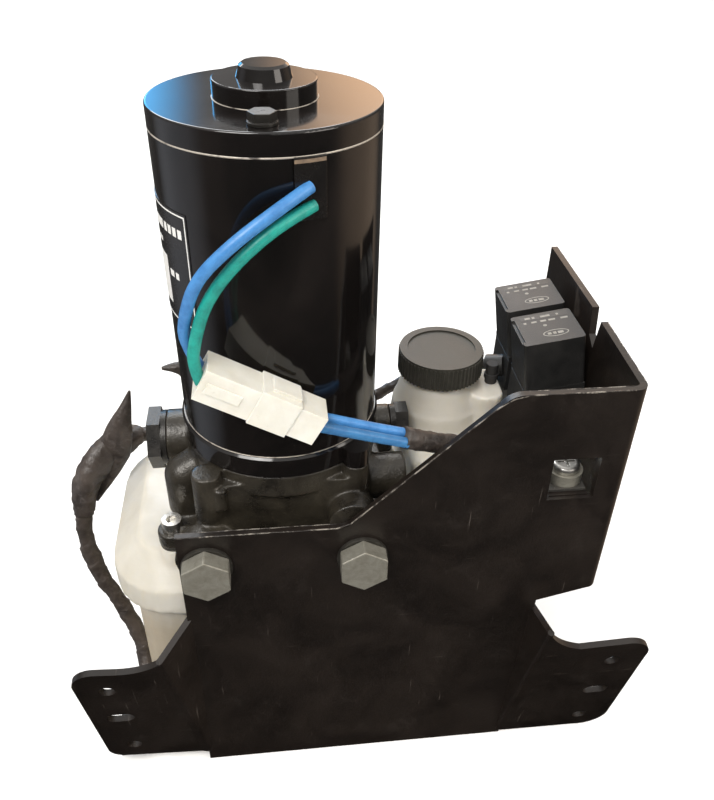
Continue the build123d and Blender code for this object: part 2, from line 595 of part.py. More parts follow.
with BuildPart() as motor_top_cap:
    post(CAN_R, CAN_TOP, CAP_TOP)
    top_edge = motor_top_cap.edges().filter_by(GeomType.CIRCLE).sort_by(Axis.Z)[-1]
    fillet(top_edge, radius=0.8)
    post(17.74, CAP_TOP - 1, 315.9)
    boss_edge = motor_top_cap.edges().filter_by(GeomType.CIRCLE).sort_by(Axis.Z)[-1]
    fillet(boss_edge, radius=0.5)
    with Locations((0, 0, 315.0)):
        Cone(9.8, 8.1, 5.4, align=(Align.CENTER, Align.CENTER, Align.MIN))
    hub_edge = motor_top_cap.edges().filter_by(GeomType.CIRCLE).sort_by(Axis.Z)[-1]
    chamfer(hub_edge, length=0.8)
    post(37.7, 298.0, CAN_TOP + 1)
    post(34.6, 297.0, CAN_TOP, mode=Mode.SUBTRACT)
    block(7.0, 18.4, -45.0, -33.0, 296.0, CAN_TOP, mode=Mode.SUBTRACT)
    post(8.0, CAN_TOP - 1, 312.0, mode=Mode.SUBTRACT)
    for bolt_x, bolt_y in ((-1.3, -THROUGH_R), (1.3, THROUGH_R)):
        post(2.7, CAN_TOP - 1, CAP_TOP + 1, bolt_x, bolt_y, mode=Mode.SUBTRACT)
save(motor_top_cap.part, "motor_top_cap")

with BuildPart() as through_bolts:
    for bolt_x, bolt_y in ((-1.3, -THROUGH_R), (1.3, THROUGH_R)):
        post(2.45, 179.0, CAP_TOP, bolt_x, bolt_y)
        post(4.9, CAP_TOP, CAP_TOP + 1.0, bolt_x, bolt_y)
        head = Plane(origin=(bolt_x, bolt_y, CAP_TOP + 1.0), x_dir=(1, 0, 0), z_dir=(0, 0, 1))
        prism(hexagon(8.0), head, 2.8)
save(through_bolts.part, "through_bolts")

with BuildPart() as magnets:
    with BuildSketch(Plane.XY.offset(205.0)):
        Circle(CAN_R - CAN_WALL)
        Circle(CORE_R + 1.0, mode=Mode.SUBTRACT)
        Rectangle(30.0, 90.0, mode=Mode.SUBTRACT)
    extrude(amount=70.0)
save(magnets.part, "magnets")

with BuildPart() as armature_core:
    with BuildSketch(Plane.XY.offset(CORE_LOW)):
        Circle(CORE_R)
        Circle(SHAFT_R, mode=Mode.SUBTRACT)
        with PolarLocations(CORE_R - 5.0, 12):
            SlotOverall(9.0, 5.0, mode=Mode.SUBTRACT)
        with PolarLocations(CORE_R, 12):
            Rectangle(4.0, 2.0, mode=Mode.SUBTRACT)
    extrude(amount=CORE_HIGH - CORE_LOW)
save(armature_core.part, "armature_core")

with BuildPart() as windings:
    post(24.0, 200.0, CORE_LOW)
    post(24.0, CORE_HIGH, 277.0)
    chamfer(windings.edges().filter_by(GeomType.CIRCLE), length=1.5)
    with BuildSketch(Plane.XY.offset(CORE_LOW)):
        with PolarLocations(CORE_R - 5.0, 12):
            SlotOverall(8.4, 4.4)
    extrude(amount=CORE_HIGH - CORE_LOW)
    post(SHAFT_R, 199.0, 278.0, mode=Mode.SUBTRACT)
save(windings.part, "windings")

with BuildPart() as commutator:
    with BuildSketch(Plane.XY.offset(278.0)):
        Circle(COMM_R)
        Circle(SHAFT_R, mode=Mode.SUBTRACT)
        with PolarLocations(COMM_R, 16):
            Rectangle(2.0, 0.7, mode=Mode.SUBTRACT)
    extrude(amount=17.0)
save(commutator.part, "commutator")

with BuildPart() as motor_shaft:
    post(SHAFT_R, 152.0, 311.0)
    chamfer(motor_shaft.edges().filter_by(GeomType.CIRCLE), length=0.6)
save(motor_shaft.part, "motor_shaft")

with BuildPart() as drive_coupling:
    post(8.0, 144.0, 160.0)
    post(SHAFT_R, 143.0, 161.0, mode=Mode.SUBTRACT)
save(drive_coupling.part, "drive_coupling")

with BuildPart() as shaft_seal:
    post(12.0, 167.0, 174.5)
    post(SHAFT_R + 0.05, 166.0, 175.5, mode=Mode.SUBTRACT)
save(shaft_seal.part, "shaft_seal")

with BuildPart() as shaft_bushings:
    post(9.5, 177.0, 184.0)
    post(8.0, 303.0, 311.5)
    post(SHAFT_R + 0.05, 176.0, 312.0, mode=Mode.SUBTRACT)
save(shaft_bushings.part, "shaft_bushings")

with BuildPart() as brush_plate:
    post(34.0, 280.0, 282.0)
    post(COMM_R + 1.5, 279.0, 283.0, mode=Mode.SUBTRACT)
    for side in (-1, 1):
        block(side * 15.5, side * 32.0, -4.2, 4.2, 281.5, 291.0)
        block(side * 14.0, side * 30.5, -3.05, 3.05, 283.0, 289.1, mode=Mode.SUBTRACT)
    for bolt_x, bolt_y in ((-1.3, -THROUGH_R), (1.3, THROUGH_R)):
        post(3.2, 279.0, 283.0, bolt_x, bolt_y, mode=Mode.SUBTRACT)
    post(34.0, 279.0, 292.0, 0, 0, mode=Mode.INTERSECT)
save(brush_plate.part, "brush_plate")

for side, label in ((-1, "brush_left"), (1, "brush_right")):
    with BuildPart() as brush:
        block(side * 10.0, side * 23.0, -3.0, 3.0, 283.05, 289.05)
        post(COMM_R + 0.05, 282.0, 290.0, mode=Mode.SUBTRACT)
    save(brush.part, label)

with BuildPart() as lead_grommet:
    block(7.5, 17.9, -45.0, -34.0, 281.8, 302.1)
    post(CAN_R + 1.2, 281.0, 303.0, mode=Mode.INTERSECT)
    post(36.6, 281.0, 303.0, mode=Mode.SUBTRACT)
save(lead_grommet.part, "lead_grommet")

with BuildPart() as motor_label:
    with BuildSketch(Plane.XY.offset(LABEL_LOW)):
        Circle(CAN_R + 0.25)
        Circle(CAN_R, mode=Mode.SUBTRACT)
        with BuildLine():
            Polyline((0, 0), (-60.0, 10.0), (-60.0, -62.0), (0, 0))
        make_face(mode=Mode.INTERSECT)
    extrude(amount=LABEL_HIGH - LABEL_LOW)
save(motor_label.part, "motor_label")


# ---------------------------------------------------------------- relays on their tray
relay_frames = [
    Plane(
        origin=(RELAY_TOP[0], y, RELAY_TOP[1]),
        x_dir=(cos(radians(RELAY_TILT)), 0, sin(radians(RELAY_TILT))),
        z_dir=(-sin(radians(RELAY_TILT)), 0, cos(radians(RELAY_TILT))),
    )
    for y in RELAY_Y
]
BLADES = ((-8.0, 0.0, 0.8, 6.0), (8.0, 0.0, 0.8, 6.0), (0.0, -8.0, 6.0, 0.8), (0.0, 8.0, 6.0, 0.8))


def local_block(frame, x0, x1, y0, y1, z0, z1, mode=Mode.ADD):
    """Box between limits given in a tilted frame."""
    middle = Location(((x0 + x1) / 2, (y0 + y1) / 2, (z0 + z1) / 2))
    with Locations(frame.location * middle):
        Box(abs(x1 - x0), abs(y1 - y0), abs(z1 - z0), mode=mode)


half_w = RELAY_W / 2
half_d = RELAY_D / 2
with BuildPart() as relay_cases:
    for frame in relay_frames:
        local_block(frame, -half_w, half_w, -half_d, half_d, -RELAY_H + 2.0, 0.0)
    upright = [edge for edge in relay_cases.edges() if edge.length > RELAY_H - 3.0 and
               abs(edge.tangent_at(0).Z) > 0.9]
    fillet(upright, radius=1.6)
    for frame in relay_frames:
        local_block(frame, -half_w + 1.2, half_w - 1.2, -half_d + 1.2, half_d - 1.2,
                    -RELAY_H, -1.6, mode=Mode.SUBTRACT)
        local_block(frame, -half_w - 1, -half_w + 1.2, -half_d + 3.0, half_d - 3.0,
                    -1.0, 1.0, mode=Mode.SUBTRACT)
save(relay_cases.part, "relay_cases")

with BuildPart() as relay_bases:
    for frame in relay_frames:
        local_block(frame, -half_w, half_w, -half_d, half_d, -RELAY_H, -RELAY_H + 2.0)
        local_block(frame, 1.0, 10.0, -5.0, 5.0, -RELAY_H + 1.0, -7.0)
        local_block(frame, -1.0, 11.0, -6.0, 6.0, -8.5, -7.0)
        for x, y, dx, dy in BLADES:
            local_block(frame, x - dx / 2, x + dx / 2, y - dy / 2, y + dy / 2, -RELAY_H - 7.0, -RELAY_H + 1.0)
save(relay_bases.part, "relay_bases")

with BuildPart() as relay_armatures:
    for frame in relay_frames:
        local_block(frame, -7.0, 10.5, -4.5, 4.5, -5.6, -4.6)
        local_block(frame, -7.0, -6.0, -4.5, 4.5, -16.0, -4.6)
save(relay_armatures.part, "relay_armatures")

with BuildPart() as relay_sockets:
    for y in RELAY_Y:
        side_view = Plane(origin=(0, y + half_d, 0), x_dir=(1, 0, 0), z_dir=(0, -1, 0))
        prism(((107.0, 166.0), (131.5, 166.0), (133.6, 186.6), (107.3, 182.5)), side_view, 2 * half_d)
    for frame in relay_frames:
        local_block(frame, -half_w - 2, half_w + 2, -half_d - 1, half_d + 1,
                    -RELAY_H, -RELAY_H + 9.0, mode=Mode.SUBTRACT)
        for x, y, dx, dy in BLADES:
            local_block(frame, x - dx / 2 - 0.35, x + dx / 2 + 0.35, y - dy / 2 - 0.35, y + dy / 2 + 0.35,
                        -RELAY_H - 8.0, -RELAY_H + 2.0, mode=Mode.SUBTRACT)
    rod(HARNESS_START, HARNESS_INSIDE, 5.4)
    rod(LOOM_END, LOOM_INSIDE, 5.4)
save(relay_sockets.part, "relay_sockets")

with BuildPart() as relay_tray:
    block(104.0, 132.5, -1.0, 53.0, TAB_TOP, TAB_TOP + 1.5)
    block(107.5, 123.0, -46.0, 0.0, TAB_TOP, TAB_TOP + 1.5)
    post(2.7, TAB_TOP - 1, TAB_TOP + 3, TAB_SCREW[0], TAB_SCREW[1], mode=Mode.SUBTRACT)
save(relay_tray.part, "relay_tray")

with BuildPart() as tray_spacer:
    post(7.4, TAB_TOP + 1.5, TAB_TOP + 6.5, TAB_SCREW[0], TAB_SCREW[1])
    post(2.7, TAB_TOP, TAB_TOP + 7, TAB_SCREW[0], TAB_SCREW[1], mode=Mode.SUBTRACT)
save(tray_spacer.part, "tray_spacer")

with BuildPart() as tray_screw:
    post(2.45, TAB_TOP - 9.0, TAB_TOP + 6.5, TAB_SCREW[0], TAB_SCREW[1])
    post(5.9, TAB_TOP + 6.5, TAB_TOP + 9.7, TAB_SCREW[0], TAB_SCREW[1])
    pan_edge = tray_screw.edges().filter_by(GeomType.CIRCLE).sort_by(Axis.Z)[-1]
    fillet(pan_edge, radius=1.8)
    for dx, dy in ((3.6, 0.5), (0.5, 3.6)):
        block(TAB_SCREW[0] - dx, TAB_SCREW[0] + dx, TAB_SCREW[1] - dy, TAB_SCREW[1] + dy,
              TAB_TOP + 8.1, TAB_TOP + 10.5, mode=Mode.SUBTRACT)
save(tray_screw.part, "tray_screw")

# ---------------------------------------------------------------- two-way connector
along = Plane(
    origin=PLUG_AT,
    x_dir=(cos(radians(PLUG_ANGLE)), 0, -sin(radians(PLUG_ANGLE))),
    z_dir=(sin(radians(PLUG_ANGLE)), 0, cos(radians(PLUG_ANGLE))),
)
with BuildPart() as connector_socket:
    local_block(along, -23.3, -1.5, -6.6, 6.6, -6.4, 6.4)
    local_block(along, -2.5, 12.5, -7.0, 7.0, -7.2, 7.2)
    local_block(along, 1.0, 12.0, -4.0, 4.0, 6.5, 8.4)
    local_block(along, -21.0, -8.0, -7.2, -6.0, -2.0, 2.0)
    local_block(along, 1.0, 13.5, -5.3, 5.3, -5.3, 5.3, mode=Mode.SUBTRACT)
    for y in (-3.3, 3.3):
        local_block(along, -21.5, 2.0, y - 2.3, y + 2.3, -1.2, 1.2, mode=Mode.SUBTRACT)
save(connector_socket.part, "connector_socket")

with BuildPart() as connector_plug:
    local_block(along, 12.6, 23.3, -6.5, 6.5, -6.3, 6.3)
    local_block(along, 2.0, 13.0, -5.0, 5.0, -5.0, 5.0)
    for y in (-3.3, 3.3):
        local_block(along, 1.5, 20.0, y - 1.4, y + 1.4, -1.2, 1.2, mode=Mode.SUBTRACT)
save(connector_plug.part, "connector_plug")

with BuildPart() as pin_terminals:
    for y in (-3.3, 3.3):
        local_block(along, -20.5, -6.0, y - 1.9, y + 1.9, -0.7, 0.7)
        local_block(along, -6.0, 17.5, y - 0.9, y + 0.9, -0.4, 0.4)
save(pin_terminals.part, "pin_terminals")

# ---------------------------------------------------------------- wiring
cord(
    [(12.6, -38.9, 292.8), (2.0, -47.6, 289.0), (-13.0, -53.0, 280.0), (-24.6, -52.6, 268.6),
     (-29.6, -50.0, 255.0), (-31.4, -46.8, 243.5), (-26.4, -45.1, 230.2)],
    LEAD, "motor_lead_blue",
)
cord(
    [(13.6, -38.5, 286.6), (3.4, -46.6, 284.4), (-8.0, -50.8, 277.0), (-17.2, -51.0, 267.2),
     (-23.4, -50.8, 257.4), (-27.0, -51.2, 246.5), (-28.8, -52.0, 238.0), (-26.8, -51.4, 230.0)],
    LEAD, "motor_lead_green",
)
cord([(12.2, -45.0, 208.8), (31.5, -44.2, 201.8), (47.2, -42.4, 196.4)], LOOM_WIRE, "loom_lead_blue")
cord([(12.2, -51.0, 208.6), (31.0, -48.6, 201.0), (47.2, -46.6, 195.0)], LOOM_WIRE, "loom_lead_teal")
cord(
    [(45.8, -44.6, 196.2), (61.0, -40.6, 189.0), (77.0, -34.0, 181.0), (92.0, -22.5, 175.6), LOOM_END],
    8.8, "taped_loom",
)
cord(
    [HARNESS_START, (84.0, 49.0, 167.0), (66.0, 57.0, 155.0), (44.0, 56.0, 143.0),
     (14.0, 53.0, 136.5), (-18.0, 51.0, 135.5), (-41.0, 48.5, 135.5), (-60.0, 45.0, 138.5),
     (-78.5, 38.0, 140.5), (-94.0, 28.5, 129.0), (-99.5, 23.5, 110.0), (-100.8, 20.5, 89.0),
     (-97.6, 18.5, 68.0), (-90.5, 16.5, 49.0), (-83.5, 13.0, 32.0), (-79.5, 4.5, 16.0),
     (-80.5, -9.0, 5.6), (-82.0, -25.0, 4.1)],
    8.0, "taped_harness",
)
with BuildPart() as harness_plug:
    block(-89.4, -74.6, -44.4, -25.55, 0.2, 12.2)
    block(-86.0, -78.0, -41.0, -29.0, 12.0, 13.8)
    block(-87.4, -76.6, -45.0, -36.0, 2.2, 10.2, mode=Mode.SUBTRACT)
save(harness_plug.part, "harness_plug")
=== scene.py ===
import bpy
import bmesh
import json
from math import cos, pi, radians, sin
from mathutils import Matrix, Vector, noise


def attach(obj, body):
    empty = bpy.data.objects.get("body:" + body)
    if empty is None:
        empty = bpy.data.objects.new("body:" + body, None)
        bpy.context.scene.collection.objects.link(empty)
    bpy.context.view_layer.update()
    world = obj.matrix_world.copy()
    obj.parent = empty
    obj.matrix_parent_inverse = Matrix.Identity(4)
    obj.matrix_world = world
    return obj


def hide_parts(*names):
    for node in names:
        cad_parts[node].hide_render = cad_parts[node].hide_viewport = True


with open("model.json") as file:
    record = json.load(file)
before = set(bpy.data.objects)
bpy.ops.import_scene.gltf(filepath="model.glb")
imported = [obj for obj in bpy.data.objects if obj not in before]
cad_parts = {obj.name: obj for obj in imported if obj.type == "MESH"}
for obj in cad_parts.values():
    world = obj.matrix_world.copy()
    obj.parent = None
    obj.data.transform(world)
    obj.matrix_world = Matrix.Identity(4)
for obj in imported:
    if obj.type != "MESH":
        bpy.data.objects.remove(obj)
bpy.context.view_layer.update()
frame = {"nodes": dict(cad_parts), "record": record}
NODES = frame["nodes"]
MM = 0.001
FIXED = "unit"  # the body that carries everything that doesn't move


def linked(name, data):
    """A new object in the scene."""
    thing = bpy.data.objects.new(name, data)
    bpy.context.scene.collection.objects.link(thing)
    return thing


# ------------------------------------------------------------------ camera

CAMERA_AT = (-0.00063, -0.28618, 0.38547)
YAW, PITCH, ROLL = radians(7.57), radians(-36.86), radians(1.61)
LENS = 36.58
SHIFT = (-0.012, 0.032)
forward = Vector((sin(YAW) * cos(PITCH), cos(YAW) * cos(PITCH), sin(PITCH)))
level = Vector((cos(YAW), -sin(YAW), 0.0))
upward = level.cross(forward)
cam_x = cos(ROLL) * level + sin(ROLL) * upward
cam_y = -sin(ROLL) * level + cos(ROLL) * upward
camera = linked("camera", bpy.data.cameras.new("camera"))
camera.matrix_world = Matrix((
    (cam_x.x, cam_y.x, -forward.x, CAMERA_AT[0]),
    (cam_x.y, cam_y.y, -forward.y, CAMERA_AT[1]),
    (cam_x.z, cam_y.z, -forward.z, CAMERA_AT[2]),
    (0.0, 0.0, 0.0, 1.0),
))
camera.data.lens = LENS
camera.data.shift_x, camera.data.shift_y = SHIFT
camera.data.clip_start = 0.01
bpy.context.scene.camera = camera
bpy.context.scene.view_settings.view_transform = "Standard"


# ------------------------------------------------------------------ shader building blocks

def with_alpha(color):
    """A plain colour with full opacity; another node's output is left as it is."""
    return (*color, 1.0) if isinstance(color, tuple) else color


class Shader:
    """A material's node tree with short ways to add what this scene uses. All lengths are in metres."""

    def __init__(self, name):
        self.material = bpy.data.materials.new(name)
        self.material.use_nodes = True
        self.tree = self.material.node_tree
        self.tree.nodes.clear()
        self.bsdf = self.tree.nodes.new("ShaderNodeBsdfPrincipled")
        output = self.tree.nodes.new("ShaderNodeOutputMaterial")
        self.link(self.bsdf.outputs["BSDF"], output.inputs["Surface"])
        self.place = self.tree.nodes.new("ShaderNodeTexCoord").outputs["Object"]

    def link(self, source, target):
        self.tree.links.new(source, target)

    def put(self, node, inputs):
        """Sets a node's sockets by name or number, from plain values or from other nodes' outputs."""
        for key, value in inputs.items():
            if hasattr(value, "is_output"):
                self.link(value, node.inputs[key])
            else:
                node.inputs[key].default_value = value

    def stretch(self, scale, turn=(0.0, 0.0, 0.0)):
        node = self.tree.nodes.new("ShaderNodeMapping")
        node.inputs["Scale"].default_value = scale
        node.inputs["Rotation"].default_value = turn
        self.link(self.place, node.inputs["Vector"])
        return node.outputs["Vector"]

    def noise(self, scale, detail=3.0, rough=0.5, twist=0.0, where=None):
        node = self.tree.nodes.new("ShaderNodeTexNoise")
        self.put(node, {"Vector": where or self.place, "Scale": scale, "Detail": detail,
                        "Roughness": rough, "Distortion": twist})
        return node.outputs["Fac"]

    def steps(self, value, low, high, to_low=0.0, to_high=1.0):
        node = self.tree.nodes.new("ShaderNodeMapRange")
        self.put(node, {"Value": value, "From Min": low, "From Max": high,
                        "To Min": to_low, "To Max": to_high})
        return node.outputs["Result"]

    def maths(self, operation, a, b):
        node = self.tree.nodes.new("ShaderNodeMath")
        node.operation = operation
        self.put(node, {0: a, 1: b})
        return node.outputs["Value"]

    def mix(self, factor, a, b):
        """One colour over another: sockets 6 and 7 of the mix node are its two colours."""
        node = self.tree.nodes.new("ShaderNodeMix")
        node.data_type = "RGBA"
        self.put(node, {0: factor, 6: with_alpha(a), 7: with_alpha(b)})
        return node.outputs[2]

    def bump(self, height, depth, strength=1.0, below=None):
        node = self.tree.nodes.new("ShaderNodeBump")
        self.put(node, {"Height": height, "Distance": depth, "Strength": strength})
        if below:
            self.link(below, node.inputs["Normal"])
        return node.outputs["Normal"]

    def finish(self, **inputs):
        """Sets the surface's own sockets, whose names are given with underscores for spaces."""
        self.put(self.bsdf, {key.replace("_", " "): value for key, value in inputs.items()})
        return self.material


def plain(name, base, other, rough=(0.35, 0.55), metal=0.0, patch=60.0, grain=1500.0, depth=0.00005,
          grime=None, grime_from=0.6):
    """Two close tones in soft patches, uneven gloss, a fine surface grain and optional grime."""
    s = Shader(name)
    patches = s.noise(patch, 4.0, 0.6, 0.4)
    fine = s.noise(grain, 3.0, 0.6)
    tone = s.mix(s.steps(patches, 0.3, 0.7), base, other)
    if grime:
        speck = s.noise(patch * 7.0, 6.0, 0.7, 0.2)
        tone = s.mix(s.steps(speck, grime_from, grime_from + 0.12, 0.0, 0.7), tone, grime)
    gloss = s.steps(s.maths("ADD", patches, s.maths("MULTIPLY", fine, 0.4)), 0.5, 0.95, rough[0], rough[1])
    return s.finish(Base_Color=tone, Roughness=gloss, Metallic=metal, Normal=s.bump(fine, depth))


def coated_steel():
    """Semi-gloss black coating with brownish smears and blotches, partly smudges and partly painted brown
    reflections, with dust and fine scratches.
    """
    s = Shader("coated_steel")
    smear_and_reflection = s.noise(26.0, 5.0, 0.62, 0.8)
    blotch_and_reflection = s.noise(90.0, 5.0, 0.7, 0.6)
    # dark brownish smears: partly smudges, partly a painted brown reflection
    tone = s.mix(s.steps(smear_and_reflection, 0.36, 0.72), (0.0080, 0.0058, 0.0047), (0.0170, 0.0118, 0.0088))
    # lighter brown blotches: partly smudges, partly a painted brown reflection
    tone = s.mix(s.steps(blotch_and_reflection, 0.58, 0.80, 0.0, 0.35), tone, (0.040, 0.031, 0.025))
    scratch_a = s.noise(1.0, 2.0, 0.5, 0.0, s.stretch((900.0, 60.0, 40.0), (0.0, radians(35), 0.0)))
    scratch_b = s.noise(1.0, 2.0, 0.5, 0.0, s.stretch((40.0, 60.0, 1100.0), (0.0, radians(14), 0.0)))
    scratches = s.maths("MAXIMUM", s.steps(scratch_a, 0.70, 0.76), s.steps(scratch_b, 0.72, 0.78))
    tone = s.mix(s.maths("MULTIPLY", scratches, 0.30), tone, (0.15, 0.125, 0.105))
    dust = s.steps(s.noise(1400.0, 2.0, 0.5), 0.71, 0.79, 0.0, 0.45)
    tone = s.mix(dust, tone, (0.10, 0.083, 0.070))
    orange_peel = s.noise(700.0, 2.0, 0.5)
    gloss = s.steps(s.maths("ADD", smear_and_reflection, s.maths("MULTIPLY", blotch_and_reflection, 0.5)), 0.55, 1.0, 0.29, 0.44)
    return s.finish(
        Base_Color=tone, Roughness=gloss, Specular_IOR_Level=0.5,
        Normal=s.bump(scratches, 0.00004, 0.6, s.bump(orange_peel, 0.00012, 0.6)),
    )


def bright_edge(name, bright, dark, bare_from):
    """Sheet edges where the coating is rubbed through to bare metal; on the bracket they are partly
    painted highlights too.
    """
    s = Shader(name)
    rub = s.noise(170.0, 6.0, 0.72, 0.5)
    bare = s.steps(rub, bare_from, bare_from + 0.12)
    fine = s.noise(2600.0, 2.0, 0.5)
    return s.finish(
        Base_Color=s.mix(bare, dark, s.mix(fine, bright, tuple(0.6 * v for v in bright))),
        Roughness=s.steps(rub, 0.3, 0.7, 0.34, 0.5),
        Metallic=s.maths("MULTIPLY", bare, 0.30),
        Normal=s.bump(s.noise(900.0, 4.0, 0.7), 0.00012, 0.8),
    )


def casting():
    """Black-painted rough casting with an olive-brown bloom, partly the casting's tint and partly a
    painted brownish highlight.
    """
    s = Shader("casting")
    bloom = s.noise(48.0, 5.0, 0.6, 0.5)
    # olive-brown patches: partly the casting's own tint, partly painted brownish highlights
    tone = s.mix(s.steps(bloom, 0.35, 0.7), (0.012, 0.010, 0.0078), (0.052, 0.044, 0.031))
    pits = s.noise(1100.0, 4.0, 0.6)
    tone = s.mix(s.steps(pits, 0.60, 0.74, 0.0, 0.4), tone, (0.11, 0.094, 0.070))
    return s.finish(
        Base_Color=tone, Roughness=s.steps(bloom, 0.3, 0.7, 0.22, 0.38), Specular_IOR_Level=0.6,
        Metallic=0.25,
        Normal=s.bump(pits, 0.00025, 0.7, s.bump(s.noise(300.0, 3.0, 0.5), 0.0004, 0.5)),
    )


def milky_plastic():
    """Blown translucent polyethylene with faint flow marks."""
    s = Shader("milky_plastic")
    cloud = s.noise(22.0, 4.0, 0.55, 0.3)
    upper = s.mix(s.steps(cloud, 0.35, 0.7), (0.66, 0.625, 0.555), (0.50, 0.465, 0.395))
    lower = s.mix(s.steps(cloud, 0.35, 0.7), (0.52, 0.445, 0.345), (0.40, 0.335, 0.245))
    split = s.tree.nodes.new("ShaderNodeSeparateXYZ")
    s.link(s.place, split.inputs["Vector"])
    tone = s.mix(s.steps(split.outputs["Z"], 0.085, 0.108), lower, upper)
    stain = s.steps(s.noise(75.0, 6.0, 0.7, 0.4), 0.60, 0.8, 0.0, 0.30)
    tone = s.mix(stain, tone, (0.42, 0.37, 0.28))
    flow = s.noise(1.0, 3.0, 0.5, 0.3, s.stretch((14.0, 14.0, 120.0)))
    return s.finish(
        Base_Color=tone, Roughness=s.steps(cloud, 0.3, 0.7, 0.28, 0.42),
        Subsurface_Weight=0.45, Subsurface_Scale=0.010, Subsurface_Radius=(1.0, 0.85, 0.6),
        Specular_IOR_Level=0.45,
        Normal=s.bump(s.noise(420.0, 3.0, 0.5), 0.00012, 0.5, s.bump(flow, 0.0006, 0.5)),
    )


def gloss_paint():
    """Deep gloss black enamel with slight ripple and dust."""
    s = Shader("gloss_paint")
    ripple = s.noise(60.0, 2.0, 0.5)
    dust = s.steps(s.noise(1700.0, 2.0, 0.5), 0.74, 0.80, 0.0, 0.35)
    film = s.steps(s.noise(18.0, 4.0, 0.6, 0.6), 0.45, 0.75)
    tone = s.mix(film, (0.0045, 0.0038, 0.0036), (0.012, 0.0095, 0.0085))
    tone = s.mix(dust, tone, (0.10, 0.09, 0.08))
    return s.finish(
        Base_Color=tone, Roughness=s.steps(film, 0.0, 1.0, 0.09, 0.17), Specular_IOR_Level=0.42,
        Coat_Weight=0.25, Coat_Roughness=0.06,
        Normal=s.bump(ripple, 0.00008, 0.5),
    )


def wound_tape():
    """Black PVC tape with pressed-in wrinkles, lighter brownish patches and grey on the wrinkles' crests,
    all painted highlights.
    """
    s = Shader("wound_tape")
    wrinkle_and_highlight = s.noise(260.0, 5.0, 0.65, 1.2)
    broad_lump_and_highlight = s.noise(70.0, 4.0, 0.6, 0.6)
    # lighter brownish patches: painted highlights
    tone = s.mix(s.steps(broad_lump_and_highlight, 0.35, 0.7), (0.022, 0.017, 0.0145), (0.074, 0.058, 0.048))
    # grey on the wrinkles' crests: painted highlights
    tone = s.mix(s.steps(wrinkle_and_highlight, 0.55, 0.75, 0.0, 0.6), tone, (0.12, 0.10, 0.09))
    return s.finish(
        Base_Color=tone, Roughness=s.steps(wrinkle_and_highlight, 0.3, 0.7, 0.30, 0.48),
        Normal=s.bump(wrinkle_and_highlight, 0.0007, 0.8, s.bump(broad_lump_and_highlight, 0.001, 0.5)),
    )


def sleeve(name, base, deep):
    """PVC wire sleeve: even colour, faint handling marks, soft sheen."""
    s = Shader(name)
    marks = s.noise(240.0, 5.0, 0.7, 0.3)
    tone = s.mix(s.steps(marks, 0.40, 0.70), base, deep)
    grime = s.steps(s.noise(600.0, 4.0, 0.7), 0.64, 0.76, 0.0, 0.4)
    return s.finish(
        Base_Color=s.mix(grime, tone, tuple(0.35 * v for v in deep)),
        Roughness=s.steps(marks, 0.3, 0.7, 0.32, 0.45),
        Normal=s.bump(marks, 0.00015, 0.5), Specular_IOR_Level=0.45,
    )


def nylon():
    """Ivory moulded nylon, slightly waxy, with specks of dirt."""
    s = Shader("nylon")
    wax = s.noise(90.0, 4.0, 0.55, 0.3)
    tone = s.mix(s.steps(wax, 0.35, 0.7), (0.71, 0.695, 0.63), (0.61, 0.585, 0.505))
    soil = s.steps(s.noise(420.0, 5.0, 0.7), 0.62, 0.78, 0.0, 0.30)
    return s.finish(
        Base_Color=s.mix(soil, tone, (0.38, 0.32, 0.23)), Roughness=s.steps(wax, 0.3, 0.7, 0.30, 0.42),
        Subsurface_Weight=0.25, Subsurface_Scale=0.004, Subsurface_Radius=(1.0, 0.8, 0.5),
        Normal=s.bump(s.noise(900.0, 3.0, 0.5), 0.00008, 0.5),
    )


def brushed(name, base, other, rough=(0.28, 0.42), along=(40.0, 1600.0, 1600.0)):
    """Bare metal with fine parallel marks."""
    s = Shader(name)
    grain = s.noise(1.0, 3.0, 0.6, 0.0, s.stretch(along))
    cloud = s.noise(120.0, 4.0, 0.6)
    tone = s.mix(s.steps(s.maths("ADD", grain, cloud), 0.8, 1.2), base, other)
    return s.finish(
        Base_Color=tone, Metallic=0.95, Roughness=s.steps(grain, 0.3, 0.7, rough[0], rough[1]),
        Normal=s.bump(grain, 0.00005, 0.6),
    )


def zinc():
    """Dull plated bolt: cloudy grey-olive with white bloom."""
    s = Shader("zinc")
    cloud = s.noise(160.0, 5.0, 0.65, 0.4)
    tone = s.mix(s.steps(cloud, 0.35, 0.68), (0.35, 0.335, 0.285), (0.235, 0.222, 0.182))
    bloom = s.steps(s.noise(700.0, 5.0, 0.75), 0.58, 0.75, 0.0, 0.4)
    return s.finish(
        Base_Color=s.mix(bloom, tone, (0.46, 0.44, 0.39)), Metallic=0.6,
        Roughness=s.steps(cloud, 0.3, 0.7, 0.36, 0.52),
        Normal=s.bump(s.noise(1100.0, 4.0, 0.65), 0.00018, 0.6),
    )


